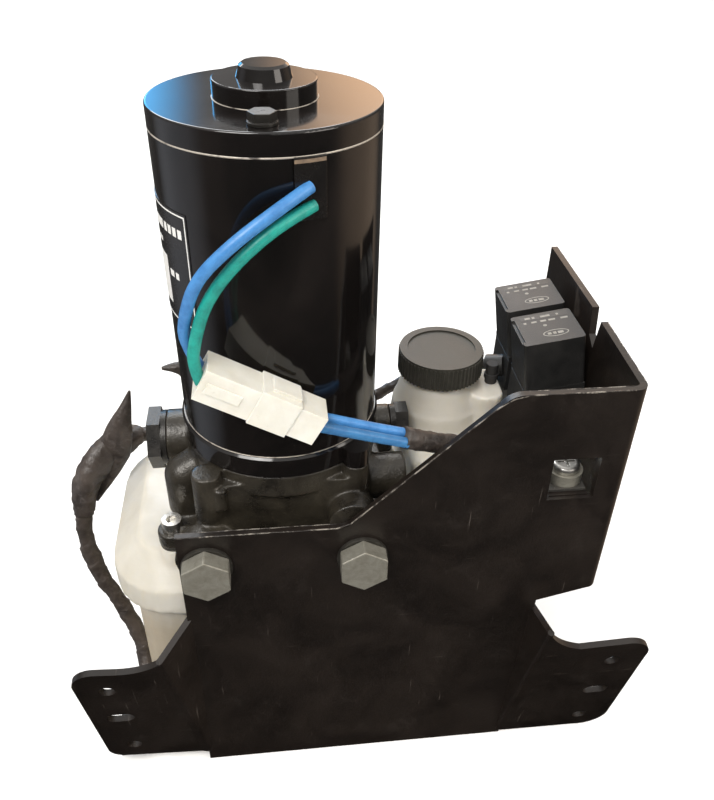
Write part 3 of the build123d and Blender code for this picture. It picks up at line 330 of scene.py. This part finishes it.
LOOKS = {
    "black_steel": coated_steel(),
    "motor_paint": gloss_paint(),
    "zinc_bolt": zinc(),
    "body_casting": casting(),
    "plug_black": plain("plug_black", (0.016, 0.015, 0.014), (0.035, 0.032, 0.028), rough=(0.26, 0.4),
                        metal=0.4, patch=150.0, grain=1300.0, depth=0.00012, grime=(0.10, 0.09, 0.07)),
    "bright_steel": brushed("bright_steel", (0.62, 0.61, 0.58), (0.42, 0.41, 0.39)),
    "spring_steel": brushed("spring_steel", (0.5, 0.5, 0.5), (0.33, 0.33, 0.34)),
    "tank_plastic": milky_plastic(),
    "cap_plastic": plain("cap_plastic", (0.036, 0.034, 0.027), (0.062, 0.058, 0.048), rough=(0.40, 0.55),
                         patch=70.0, depth=0.00012, grime=(0.16, 0.15, 0.13), grime_from=0.66),
    "rubber_black": plain("rubber_black", (0.014, 0.013, 0.013), (0.03, 0.028, 0.027), rough=(0.5, 0.7),
                          patch=120.0, grain=1400.0, depth=0.0001, grime=(0.08, 0.07, 0.06)),
    "gasket_fibre": plain("gasket_fibre", (0.03, 0.028, 0.024), (0.06, 0.055, 0.045), rough=(0.6, 0.8),
                          patch=300.0, grain=2200.0, depth=0.0002),
    "pump_iron": plain("pump_iron", (0.17, 0.165, 0.155), (0.10, 0.10, 0.095), rough=(0.35, 0.5),
                       metal=0.7, patch=90.0, grain=1200.0, depth=0.0002),
    "strainer_plastic": plain("strainer_plastic", (0.76, 0.73, 0.66), (0.62, 0.6, 0.53),
                              rough=(0.45, 0.6), patch=200.0, grain=2600.0, depth=0.0003),
    "magnet_grey": plain("magnet_grey", (0.06, 0.06, 0.065), (0.1, 0.1, 0.1), rough=(0.5, 0.65),
                         metal=0.1),
    "core_steel": brushed("core_steel", (0.3, 0.3, 0.31), (0.2, 0.2, 0.2), along=(40.0, 40.0, 4000.0)),
    "copper": brushed("copper", (0.62, 0.27, 0.12), (0.45, 0.17, 0.07), rough=(0.3, 0.5),
                      along=(900.0, 900.0, 60.0)),
    "brass_plain": brushed("brass_plain", (0.62, 0.45, 0.18), (0.45, 0.32, 0.12)),
    "brush_carbon": plain("brush_carbon", (0.03, 0.03, 0.03), (0.06, 0.06, 0.06), rough=(0.4, 0.55),
                          metal=0.2),
    "phenolic": plain("phenolic", (0.13, 0.07, 0.035), (0.2, 0.11, 0.06), rough=(0.35, 0.5)),
    "label_film": plain("label_film", (0.010, 0.0095, 0.0095), (0.018, 0.016, 0.016),
                        rough=(0.22, 0.32)),
    "wire_blue": sleeve("wire_blue", (0.060, 0.23, 0.52), (0.032, 0.15, 0.38)),
    "wire_green": sleeve("wire_green", (0.012, 0.31, 0.25), (0.007, 0.19, 0.16)),
    "connector_ivory": nylon(),
    "relay_black": plain("relay_black", (0.013, 0.013, 0.013), (0.024, 0.023, 0.022), rough=(0.34, 0.5),
                         patch=80.0, grain=1800.0, depth=0.00008, grime=(0.07, 0.065, 0.06),
                         grime_from=0.66),
    "tape_black": wound_tape(),
    "zinc_sheet": plain("zinc_sheet", (0.12, 0.115, 0.10), (0.07, 0.065, 0.06), rough=(0.4, 0.55),
                        metal=0.6, patch=100.0, grain=900.0, depth=0.0001, grime=(0.25, 0.24, 0.21)),
}
# the bracket's bevelled edges: rubbed bare metal, partly painted edge highlights
BARE_EDGE_AND_HIGHLIGHT = bright_edge("bare_edge_and_highlight", (0.34, 0.305, 0.26), (0.024, 0.019, 0.016), bare_from=0.47)
SEAM_EDGE = bright_edge("seam_edge", (0.62, 0.56, 0.48), (0.05, 0.04, 0.034), bare_from=0.34)
SOFT_EDGE = bright_edge("soft_edge", (0.30, 0.28, 0.25), (0.03, 0.027, 0.025), bare_from=0.50)
TAN_EDGE = plain("tan_edge", (0.24, 0.17, 0.11), (0.12, 0.085, 0.06), rough=(0.35, 0.5), patch=300.0,
                 grain=1800.0)

slots = {row["node"]: row["material_slot"] for row in frame["record"]["subparts"]}
for node_name, node in NODES.items():
    for material_slot in node.material_slots:
        material_slot.material = LOOKS[slots[node_name]]

# the same stuff as the slot says, but fresher plating, a blacker rubber and dulled washers
OWN_FINISH = {
    "body_screws": brushed("fresh_zinc", (0.66, 0.64, 0.60), (0.46, 0.45, 0.42), rough=(0.24, 0.36),
                           along=(600.0, 600.0, 600.0)),
    "lead_grommet": plain("glossy_rubber", (0.0055, 0.005, 0.0048), (0.012, 0.010, 0.009),
                          rough=(0.20, 0.34), patch=120.0, grain=1400.0, depth=0.00006),
    "lock_washers": plain("dark_zinc", (0.030, 0.028, 0.024), (0.062, 0.057, 0.048), rough=(0.36, 0.5),
                          metal=0.5, patch=200.0),
}
for node_name, look in OWN_FINISH.items():
    NODES[node_name].material_slots[0].material = look
DEEP_SLEEVE = sleeve("deep_sleeve", (0.035, 0.165, 0.36), (0.018, 0.10, 0.25))

# ------------------------------------------------------------------ softened edges on the CAD nodes

WELD_WITHIN = 0.000004
FLAT_WITHIN = radians(0.4)
SHARP_FROM = radians(32.0)


def weld_seams(node):
    """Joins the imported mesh's faces into one skin."""
    weld = node.modifiers.new("weld", "WELD")
    weld.merge_threshold = WELD_WITHIN


def soften(node, width, segments, edge_look):
    """Rounds a node's sharp edges; the new faces may have their own finish."""
    weld_seams(node)
    flat = node.modifiers.new("flatten", "DECIMATE")
    flat.decimate_type = "DISSOLVE"
    flat.angle_limit = FLAT_WITHIN
    bevel = node.modifiers.new("round", "BEVEL")
    bevel.width = width
    bevel.segments = segments
    bevel.limit_method = "ANGLE"
    bevel.angle_limit = SHARP_FROM
    bevel.use_clamp_overlap = True
    if edge_look:
        node.data.materials.append(edge_look)
        bevel.material = len(node.data.materials) - 1
    shade = node.modifiers.new("shade", "WEIGHTED_NORMAL")
    shade.keep_sharp = True


def recast(node, voxel, rounds):
    """Rounds every corner of a cast or blown part by remeshing and relaxing it."""
    weld_seams(node)
    remesh = node.modifiers.new("remesh", "REMESH")
    remesh.mode = "VOXEL"
    remesh.voxel_size = voxel
    remesh.use_smooth_shade = True
    relax = node.modifiers.new("relax", "SMOOTH")
    relax.factor = 0.5
    relax.iterations = rounds


# node: width of the rounding, segments across it, and the finish of the rounded faces
ROUNDED = {
    "bracket": (0.0009, 2, BARE_EDGE_AND_HIGHLIGHT),
    "bracket_bolts": (0.0005, 2, None),
    "lock_washers": (0.0003, 2, None),
    "body_screws": (0.0002, 2, None),
    "left_plug": (0.0005, 2, None),
    "right_plug": (0.0004, 2, None),
    "through_bolts": (0.0004, 2, None),
    "relay_cases": (0.0004, 2, SOFT_EDGE),
    "relay_sockets": (0.0004, 2, None),
    "relay_bases": (0.0002, 2, None),
    "relay_tray": (0.0003, 2, None),
    "connector_socket": (0.0005, 3, None),
    "connector_plug": (0.0005, 3, None),
    "harness_plug": (0.0006, 3, None),
    "vent_plug": (0.0004, 2, None),
    "gallery_plugs": (0.0003, 2, None),
    "lead_grommet": (0.0003, 2, None),
    "tray_screw": (0.00015, 2, None),
}
for node_name, rounding in ROUNDED.items():
    soften(NODES[node_name], *rounding)
recast(NODES["pump_body"], 0.0007, 5)
recast(NODES["reservoir"], 0.0010, 7)

# ------------------------------------------------------------------ new pieces

def add_piece(name, mesh, look, smooth=True):
    """A new mesh object that rides on the fixed body and takes a finish."""
    piece = linked(name, mesh)
    mesh.materials.append(look)
    if smooth:
        mesh.polygons.foreach_set("use_smooth", [True] * len(mesh.polygons))
    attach(piece, FIXED)
    return piece


def mesh_of(name, verts, faces):
    """A mesh with outward normals from plain lists."""
    mesh = bpy.data.meshes.new(name)
    mesh.from_pydata(verts, [], faces)
    build = bmesh.new()
    build.from_mesh(mesh)
    bmesh.ops.recalc_face_normals(build, faces=build.faces)
    build.to_mesh(mesh)
    build.free()
    return mesh


LEAD_RADIUS = 2.1
TUBE_STEP = 0.0011
GROUND_GAP = 0.0002
NOISE_AHEAD = 0.004


def route_curve(name, points, radius):
    """A smooth round cord along control points given in millimetres."""
    data = bpy.data.curves.new(name, "CURVE")
    data.dimensions = "3D"
    spline = data.splines.new("NURBS")
    spline.points.add(len(points) - 1)
    for target, (x, y, z) in zip(spline.points, points):
        target.co = (x * MM, y * MM, z * MM, 1.0)
    spline.order_u = 3
    spline.use_endpoint_u = True
    spline.resolution_u = 14
    data.bevel_depth = radius * MM
    data.bevel_resolution = 6
    data.use_fill_caps = True
    return linked(name, data)


def add_lead(name, node, points, look):
    """A sleeved lead as a curve."""
    curve = route_curve(name, points, LEAD_RADIUS)
    curve.data.materials.append(look)
    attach(curve, FIXED)
    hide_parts(node)


def sampled(points):
    """The smooth line that a cord along those control points follows, as many points in metres."""
    bare = route_curve("bare_route", points, 0.0)
    bpy.context.view_layer.update()
    mesh = bpy.data.meshes.new_from_object(bare.evaluated_get(bpy.context.evaluated_depsgraph_get()))
    line = [v.co.copy() for v in mesh.vertices]
    bpy.data.objects.remove(bare)
    return line


def evenly(points, step):
    """The same line with its points a set distance apart."""
    walked = [points[0]]
    left = step
    for a, b in zip(points, points[1:]):
        span = (b - a).length
        done = 0.0
        while span - done >= left:
            done += left
            walked.append(a.lerp(b, done / span))
            left = step
        left -= span - done
    walked.append(points[-1])
    return walked


def tube_faces(rings, around):
    """Faces between rings of corners, with a cap at each end."""
    faces = []
    for i in range(rings - 1):
        for j in range(around):
            k = (j + 1) % around
            faces.append((i * around + j, i * around + k, (i + 1) * around + k, (i + 1) * around + j))
    last = (rings - 1) * around
    faces.append(tuple(range(around)))
    faces.append(tuple(last + j for j in range(around)))
    return faces


def wrapped_tube(name, line, radius_at, around=28):
    """A closed tube along a line, with a radius that depends on the distance along and the angle."""
    across = (line[1] - line[0]).orthogonal().normalized()
    verts = []
    walked = 0.0
    for i, point in enumerate(line):
        before = line[max(i - 1, 0)]
        after = line[min(i + 1, len(line) - 1)]
        along = (after - before).normalized()
        across = (across - along * across.dot(along)).normalized()
        side = along.cross(across)
        walked += (point - before).length
        for j in range(around):
            turn = 2 * pi * j / around
            out = cos(turn) * across + sin(turn) * side
            spot = point + out * radius_at(walked, turn, point + out * NOISE_AHEAD)
            spot.z = max(spot.z, GROUND_GAP)
            verts.append(spot)
    return mesh_of(name, verts, tube_faces(len(line), around))


def tape_radius(base, pitch, seam, crush):
    """Radius of a tape-wound bundle: an overlap step that winds round it, lumps and creases."""

    def radius(walked, turn, spot):
        step = (walked / pitch - turn / (2 * pi)) % 1.0
        ridge = seam * (1.0 - step) ** 3
        lump = noise.noise(spot * 85.0) * crush
        crease = abs(noise.noise(spot * 330.0)) * crush * 0.8
        return base + ridge + lump - crease

    return radius


# the wires' control points in millimetres, from the exit to the far end
BLUE_LEAD = [(12.6, -38.9, 292.8), (2.0, -47.6, 289.0), (-13.0, -53.0, 280.0), (-24.6, -52.6, 268.6),
             (-29.6, -50.0, 255.0), (-31.4, -46.8, 243.5), (-26.4, -45.1, 230.2)]
GREEN_LEAD = [(13.6, -38.5, 286.6), (3.4, -46.6, 284.4), (-8.0, -50.8, 277.0), (-17.2, -51.0, 267.2),
              (-23.4, -50.8, 257.4), (-27.0, -51.2, 246.5), (-28.8, -52.0, 238.0), (-26.8, -51.4, 230.0)]
BLUE_LOOM = [(12.2, -45.0, 208.8), (31.5, -44.2, 201.8), (47.2, -42.4, 196.4)]
TEAL_LOOM = [(12.2, -51.0, 208.6), (31.0, -48.6, 201.0), (47.2, -46.6, 195.0)]
LOOM = [(45.8, -44.6, 196.2), (61.0, -40.6, 189.0), (77.0, -34.0, 181.0), (92.0, -22.5, 175.6),
        (105.0, -9.5, 173.6)]
HARNESS = [(101.0, 40.0, 172.0), (84.0, 49.0, 167.0), (66.0, 57.0, 155.0), (44.0, 56.0, 143.0),
           (14.0, 53.0, 136.5), (-18.0, 51.0, 135.5), (-41.0, 48.5, 135.5), (-60.0, 45.0, 138.5),
           (-78.5, 38.0, 140.5), (-94.0, 28.5, 129.0), (-99.5, 23.5, 110.0), (-100.8, 20.5, 89.0),
           (-97.6, 18.5, 68.0), (-90.5, 16.5, 49.0), (-83.5, 13.0, 32.0), (-79.5, 4.5, 16.0),
           (-80.5, -9.0, 5.6), (-82.0, -25.0, 4.1)]

add_lead("lead_blue", "motor_lead_blue", BLUE_LEAD, LOOKS["wire_blue"])
add_lead("lead_green", "motor_lead_green", GREEN_LEAD, LOOKS["wire_green"])
add_lead("loom_blue", "loom_lead_blue", BLUE_LOOM, LOOKS["wire_blue"])
add_lead("loom_teal", "loom_lead_teal", TEAL_LOOM, DEEP_SLEEVE)


def add_taped(name, node, points, radius_at):
    """A tape-wound bundle as a mesh tube on its route's smooth line."""
    line = evenly(sampled(points), TUBE_STEP)
    tube = add_piece(name, wrapped_tube(name, line, radius_at), LOOKS["tape_black"])
    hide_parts(node)
    return line


add_taped("loom_wrap", "taped_loom", LOOM, tape_radius(0.0042, 0.011, 0.0004, 0.0005))
bundle_radius = tape_radius(0.0040, 0.012, 0.0005, 0.0009)


def harness_radius(walked, turn, spot):
    """The bundle is wound tighter, by a millimetre, where it runs behind the motor."""
    tight_from, tight_within = -0.072, 0.012
    tight = min(max((spot.x - tight_from) / tight_within, 0.0), 1.0)
    return bundle_radius(walked, turn, spot) - 0.0011 * tight


harness_line = add_taped("harness_wrap", "taped_harness", HARNESS,
                         harness_radius)

# the bunched tape end at the harness's high point
bunch = [p for p in harness_line if p.x < -0.068 and p.z > 0.106]


def bunch_radius(walked, turn, spot):
    """A loose fold of tape, fattest in its middle."""
    share = min(walked / (TUBE_STEP * len(bunch)), 1.0)
    swell = sin(pi * share) ** 0.7
    fold = 0.0026 * swell * max(0.0, cos(turn * 2.0 + 6.0 * share))
    crease = abs(noise.noise(spot * 300.0)) * 0.0011
    return 0.0040 + 0.0033 * swell + fold + noise.noise(spot * 120.0) * 0.0011 - crease


add_piece("tape_bunch", wrapped_tube("tape_bunch", bunch, bunch_radius, 32), LOOKS["tape_black"])


def leaf(name, spine, half_widths, thick):
    """A crumpled flap of tape along a spine, a lens across, from plain points in millimetres."""
    line = evenly(sampled(spine), 0.0009)
    around = 28
    verts = []
    for i, point in enumerate(line):
        share = i / (len(line) - 1)
        place = share * (len(half_widths) - 1)
        k = min(int(place), len(half_widths) - 2)
        half = (half_widths[k] + (half_widths[k + 1] - half_widths[k]) * (place - k)) * MM
        along = (line[min(i + 1, len(line) - 1)] - line[max(i - 1, 0)]).normalized()
        side = along.cross(Vector((0.0, -1.0, 0.35))).normalized()
        out = side.cross(along)
        for j in range(around):
            turn = 2 * pi * j / around
            spot = point + side * half * cos(turn) + out * min(half, thick * MM) * sin(turn)
            crumple = noise.noise(spot * 150.0) * 0.0012 - abs(noise.noise(spot * 330.0)) * 0.0007
            verts.append(spot + out * crumple * min(1.0, half / 0.003) * (1.0 if sin(turn) > 0 else 0.4))
    mesh = mesh_of(name, verts, tube_faces(len(line), around))
    add_piece(name, mesh, LOOKS["tape_black"])


leaf("tape_tail", [(-94.0, 31.5, 107.0), (-89.0, 31.0, 119.0), (-83.6, 31.0, 131.5), (-78.6, 32.0, 143.5),
                   (-75.4, 34.0, 153.5), (-72.2, 35.0, 161.0), (-69.5, 36.0, 169.2)],
     (0.8, 3.4, 6.0, 8.0, 6.4, 3.2, 0.5), 3.2)
leaf("tape_stub", [(-36.0, 51.0, 138.0), (-38.0, 51.0, 156.0), (-42.0, 50.5, 168.0), (-48.0, 50.0, 172.6),
                   (-55.6, 50.0, 171.8)], (2.4, 2.6, 3.6, 4.0, 0.6), 2.6)

# ------------------------------------------------------------------ rubbed edges of the bracket, partly painted highlights

PLATE_FRONT, PLATE_BACK = -49.8, -47.2
LOW_TOP, HIGH_TOP = 155.5, 216.6
RUBBED_AND_HIGHLIGHT_RUNS = (
    [(-44.2, PLATE_FRONT, LOW_TOP), (20.0, PLATE_FRONT, LOW_TOP), (25.5, PLATE_FRONT, 157.6),
     (80.0, PLATE_FRONT, 211.6), (85.6, PLATE_FRONT, 215.4), (91.0, PLATE_FRONT, HIGH_TOP),
     (131.8, PLATE_FRONT, HIGH_TOP)],
    [(-44.2, PLATE_BACK, LOW_TOP), (20.0, PLATE_BACK, LOW_TOP)],
    [(91.0, PLATE_BACK, HIGH_TOP), (131.8, PLATE_BACK, HIGH_TOP)],
    [(137.6, -44.0, HIGH_TOP), (137.6, -2.5, 218.2)],
)


def edge_radius(walked, turn, spot):
    """A hair-thin line that swells and sinks along the edge, so that it shows in dashes."""
    return 0.00030 + 0.00016 * noise.noise(spot * 260.0)


# bright strips along the bracket's top edges: rubbed metal, partly painted highlights where the edges
# catch the light
for index, run in enumerate(RUBBED_AND_HIGHLIGHT_RUNS):
    corners = [Vector(point) * MM for point in run]
    rubbed = wrapped_tube(f"bright_edge_{index}", evenly(corners, 0.0010), edge_radius, 10)
    add_piece(f"bright_edge_{index}", rubbed, BARE_EDGE_AND_HIGHLIGHT)

# ------------------------------------------------------------------ rubbed seams and strip of the motor

def hoop(verts, faces, low, high, inner, outer):
    """Adds a thin closed ring about the motor axis, given in millimetres."""
    count = 144
    start = len(verts)
    for i in range(count):
        turn = 2 * pi * i / count
        for r, z in ((inner, low), (outer, low), (outer, high), (inner, high)):
            verts.append(Vector((r * cos(turn), r * sin(turn), z)) * MM)
    for i in range(count):
        a, b = start + 4 * i, start + 4 * ((i + 1) % count)
        for j in range(4):
            k = (j + 1) % 4
            faces.append((a + j, b + j, b + k, a + k))


def motor_seams():
    """Bare metal lines where the can meets its cap and base, and round the cap's boss."""
    verts, faces = [], []
    for low, high, inner, outer in ((301.75, 302.3, 39.2, 40.08), (185.4, 185.95, 39.2, 40.08),
                                    (309.6, 309.92, 17.5, 18.05)):
        hoop(verts, faces, low, high, inner, outer)
    add_piece("motor_seams", mesh_of("motor_seams", verts, faces), SEAM_EDGE)


def bar_faces(start, steps):
    """Faces of a closed bar whose corners come in fours: outer low and high, then inner low and high."""
    faces = []
    end = start + 4 * (steps - 1)
    for a in range(start, end, 4):
        b = a + 4
        faces.extend([(a, b, b + 1, a + 1), (a + 2, a + 3, b + 3, b + 2), (a, a + 2, b + 2, b),
                      (a + 1, b + 1, b + 3, a + 3)])
    faces.extend([(start, start + 1, start + 3, start + 2), (end, end + 2, end + 3, end + 1)])
    return faces


def grommet_edge():
    """The rubbed strip at the top of the lead opening, bowed with the can."""
    left, right, low, high = 7.7, 17.7, 300.4, 301.6
    outer, inner = 41.25, 40.95
    steps = 8
    verts = []
    for i in range(steps):
        x = left + (right - left) * i / (steps - 1)
        for r in (outer, inner):
            for z in (low, high):
                verts.append(Vector((x, -(r * r - x * x) ** 0.5, z)) * MM)
    mesh = mesh_of("grommet_edge", verts, bar_faces(0, steps))
    add_piece("grommet_edge", mesh, TAN_EDGE, smooth=False)


motor_seams()
grommet_edge()

# ------------------------------------------------------------------ printed marks

PALE_PRINT = plain("pale_print", (0.29, 0.275, 0.245), (0.20, 0.19, 0.165), rough=(0.45, 0.6),
                   patch=400.0, grain=2600.0)
WHITE_PRINT = plain("white_print", (0.78, 0.77, 0.74), (0.62, 0.61, 0.58), rough=(0.4, 0.5),
                    patch=200.0, grain=2600.0)
BAND = plain("band_print", (0.016, 0.016, 0.015), (0.03, 0.03, 0.028), rough=(0.3, 0.4))

LABEL_RADIUS = 40.32
RELAY_TILT = radians(9.0)
RELAY_TOPS = [Vector((116.4, y, 210.3)) * MM for y in (9.7, 39.0)]
relay_x = Vector((cos(RELAY_TILT), 0.0, sin(RELAY_TILT)))
relay_y = Vector((0.0, 1.0, 0.0))
relay_z = relay_x.cross(relay_y)
PRINT_LIFT, PRINT_THICK = 0.05, 0.06
OVER_BAND = 0.09


def ellipse(cx, cy, rx, ry, count=36):
    """A closed outline of an ellipse."""
    turns = [2 * pi * i / count for i in range(count)]
    return [(cx + rx * cos(turn), cy + ry * sin(turn)) for turn in turns]


def raised(origin, outline, lift):
    """An outline's corners at a height over a relay's tilted top."""
    return [origin + (relay_x * x + relay_y * y + relay_z * lift) * MM for x, y in outline]


def slab(verts, faces, origin, outline, lift=PRINT_LIFT):
    """Adds a thin closed slab with that outline to a list of corners and faces."""
    start = len(verts)
    n = len(outline)
    for z in (lift - PRINT_THICK, lift):
        verts.extend(raised(origin, outline, z))
    faces.append(tuple(start + i for i in range(n)))
    faces.append(tuple(start + n + i for i in range(n)))
    for i in range(n):
        k = (i + 1) % n
        faces.append((start + i, start + k, start + n + k, start + n + i))


def ring_slab(verts, faces, origin, outer, inner, lift=PRINT_LIFT):
    """Adds a thin closed ring to a list of corners and faces."""
    start = len(verts)
    n = len(outer)
    for outline, z in ((outer, lift), (inner, lift), (outer, lift - PRINT_THICK),
                       (inner, lift - PRINT_THICK)):
        verts.extend(raised(origin, outline, z))
    for i in range(n):
        k = (i + 1) % n
        for a, b in ((0, 1), (1, 3), (3, 2), (2, 0)):
            faces.append((start + a * n + i, start + a * n + k, start + b * n + k, start + b * n + i))


def box_outline(x0, x1, y0, y1):
    return [(x0, y0), (x1, y0), (x1, y1), (x0, y1)]


def relay_prints():
    """Plain bars, a dot and a ring stand in for the lettering on each relay."""
    dark = ([], [])
    pale = ([], [])
    for origin in RELAY_TOPS:
        slab(*dark, origin, box_outline(-9.5, 11.5, 7.2, 10.6))
        for x0, x1 in ((-7.6, -5.2), (-4.4, -3.2), (-0.6, 3.6), (6.4, 7.4)):
            slab(*pale, origin, box_outline(x0, x1, 8.2, 9.6), OVER_BAND)
        for x0, x1 in ((-9.0, -7.8), (-5.6, -3.2), (-1.6, 1.0), (2.0, 5.0), (7.4, 10.6)):
            slab(*pale, origin, box_outline(x0, x1, 4.6, 5.9))
        slab(*pale, origin, ellipse(-0.6, 1.4, 0.85, 0.85, 16))
        ring_slab(*pale, origin, ellipse(2.2, -5.6, 5.6, 2.6), ellipse(2.2, -5.6, 5.15, 2.15))
        for x0, x1 in ((-1.4, 0.2), (0.9, 2.3), (3.0, 5.4)):
            slab(*pale, origin, box_outline(x0, x1, -6.5, -4.8))
    add_piece("relay_bands", mesh_of("relay_bands", *dark), BAND, smooth=False)
    add_piece("relay_print", mesh_of("relay_print", *pale), PALE_PRINT, smooth=False)


relay_prints()


def wrapped_bar(verts, faces, angle_low, angle_high, low, high):
    """Adds a thin closed bar that lies on the label, between two angles and two heights."""
    steps = max(2, int((angle_high - angle_low) / 2.0) + 1)
    start = len(verts)
    for i in range(steps):
        a = radians(angle_low + (angle_high - angle_low) * i / (steps - 1))
        for r in (LABEL_RADIUS, LABEL_RADIUS - 0.08):
            for z in (low, high):
                verts.append(Vector((r * cos(a), r * sin(a), z)) * MM)
    faces.extend(bar_faces(start, steps))


def label_prints():
    """A plain frame, bars and blocks stand in for the lettering on the motor label."""
    marks = ([], [])
    first, last, low, high = 171.5, 225.0, 236.8, 279.2
    edge_tall, edge_wide = 0.5, 0.7
    wrapped_bar(*marks, first, last, high - edge_tall, high)
    wrapped_bar(*marks, first, last, low, low + edge_tall)
    wrapped_bar(*marks, last - edge_wide, last, low, high)
    wrapped_bar(*marks, first, first + edge_wide, low, high)
    rows = (
        (270.6, 273.8, ((176, 184), (186, 190), (192, 203), (205, 208), (209.5, 212.5), (214, 217),
                        (218.5, 221.5))),
        (264.8, 266.4, ((176, 190), (193, 199))),
        (242.0, 260.5, ((176, 203),)),
        (254.0, 256.5, ((206, 210), (212, 215))),
    )
    for row_low, row_high, spans in rows:
        for a0, a1 in spans:
            wrapped_bar(*marks, a0, a1, row_low, row_high)
    add_piece("label_print", mesh_of("label_print", *marks), WHITE_PRINT, smooth=False)


label_prints()

# ------------------------------------------------------------------ floor, world and lights

FLOOR_REACH = 7.0
corners = [Vector((x, y, 0.0)) * FLOOR_REACH for x, y in ((-1, -1), (1, -1), (1, 1), (-1, 1))]
floor_mesh = mesh_of("floor", corners, [(0, 1, 2, 3)])
floor = linked("floor", floor_mesh)
floor_look = Shader("floor_look")
floor_mesh.materials.append(floor_look.finish(
    Base_Color=floor_look.mix(floor_look.noise(3.0), (0.90, 0.90, 0.895), (0.86, 0.86, 0.855)),
    Roughness=0.85, Specular_IOR_Level=0.1,
))
floor.visible_glossy = False

world = bpy.data.worlds.new("world")
bpy.context.scene.world = world
world.use_nodes = True
sky = world.node_tree
sky.nodes.clear()


def sky_patch(toward, start, full, color, strength):
    """A soft coloured card in one direction of the surroundings."""
    direction = Vector(toward).normalized()
    where = sky.nodes.new("ShaderNodeTexCoord")
    dot = sky.nodes.new("ShaderNodeVectorMath")
    dot.operation = "DOT_PRODUCT"
    dot.inputs[1].default_value = direction
    sky.links.new(where.outputs["Generated"], dot.inputs[0])
    fade = sky.nodes.new("ShaderNodeMapRange")
    fade.interpolation_type = "SMOOTHSTEP"
    fade.inputs["From Min"].default_value = cos(radians(start))
    fade.inputs["From Max"].default_value = cos(radians(full))
    fade.inputs["To Max"].default_value = strength
    sky.links.new(dot.outputs["Value"], fade.inputs["Value"])
    card = sky.nodes.new("ShaderNodeBackground")
    card.inputs["Color"].default_value = (*color, 1.0)
    sky.links.new(fade.outputs["Result"], card.inputs["Strength"])
    return card.outputs["Background"]


def sky_sum(parts):
    """Adds the cards together."""
    total = parts[0]
    for part in parts[1:]:
        add = sky.nodes.new("ShaderNodeAddShader")
        sky.links.new(total, add.inputs[0])
        sky.links.new(part, add.inputs[1])
        total = add.outputs["Shader"]
    return total


# toward, degrees from there where it starts and where it is full, colour, strength
SKY_CARDS = (
    ((0.0, 0.0, 1.0), 85.0, 10.0, (1.0, 0.985, 0.96), 1.05),  # overhead light
    ((0.0, 0.0, 1.0), 180.0, 60.0, (1.0, 0.95, 0.9), 0.16),  # dim light from all round
    ((-0.29, 0.95, 0.25), 13.0, 3.0, (0.06, 0.42, 0.88), 6.0),  # blue window in the cap's gloss
    ((-0.20, 0.95, 0.20), 4.0, 1.0, (0.40, 0.75, 0.95), 4.0),  # and its pale middle
    ((0.27, 0.95, 0.22), 17.0, 5.0, (0.60, 0.36, 0.20), 3.6),  # brown wall beside it
    ((0.35, 0.90, 0.48), 20.0, 6.0, (1.0, 0.86, 0.74), 0.7),  # paler wall over it
    ((1.0, 0.25, -0.35), 38.0, 10.0, (1.0, 0.72, 0.5), 0.5),  # warm floor to the right
    ((-1.0, 0.15, -0.3), 36.0, 10.0, (0.85, 0.9, 1.0), 0.45),  # cool floor to the left
)
cards = [sky_patch(*card) for card in SKY_CARDS]
backdrop = sky.nodes.new("ShaderNodeBackground")
backdrop.inputs["Color"].default_value = (0.90, 0.90, 0.895, 1.0)
ray = sky.nodes.new("ShaderNodeLightPath")
seen = sky.nodes.new("ShaderNodeMixShader")
sky.links.new(ray.outputs["Is Camera Ray"], seen.inputs[0])
sky.links.new(sky_sum(cards), seen.inputs[1])
sky.links.new(backdrop.outputs["Background"], seen.inputs[2])
world_out = sky.nodes.new("ShaderNodeOutputWorld")
sky.links.new(seen.outputs["Shader"], world_out.inputs["Surface"])


def facing(direction):
    """The turn that points a lamp along a direction."""
    return direction.to_track_quat("-Z", "Y").to_euler()


def add_light(name, at, toward, size, power, color):
    """A rectangular soft box aimed at a point."""
    data = bpy.data.lights.new(name, "AREA")
    data.shape = "RECTANGLE"
    data.size, data.size_y = size
    data.energy = power
    data.color = color
    light = linked(name, data)
    light.location = at
    light.rotation_euler = facing(Vector(toward) - Vector(at))


add_light("key", (-0.55, -0.75, 1.25), (0.02, 0.0, 0.12), (0.7, 0.5), 12.0, (1.0, 0.97, 0.93))
add_light("fill", (0.95, -0.55, 0.75), (0.02, 0.0, 0.12), (0.6, 0.6), 5.0, (1.0, 0.93, 0.85))
sun = linked("sun", bpy.data.lights.new("sun", "SUN"))
sun.data.energy = 0.9
sun.data.angle = radians(25)
sun.rotation_euler = facing(Vector((0.35, 0.45, -1.0)))
add_light("back", (-0.2, 1.1, 1.0), (0.02, 0.0, 0.15), (0.9, 0.4), 8.0, (0.96, 0.98, 1.0))
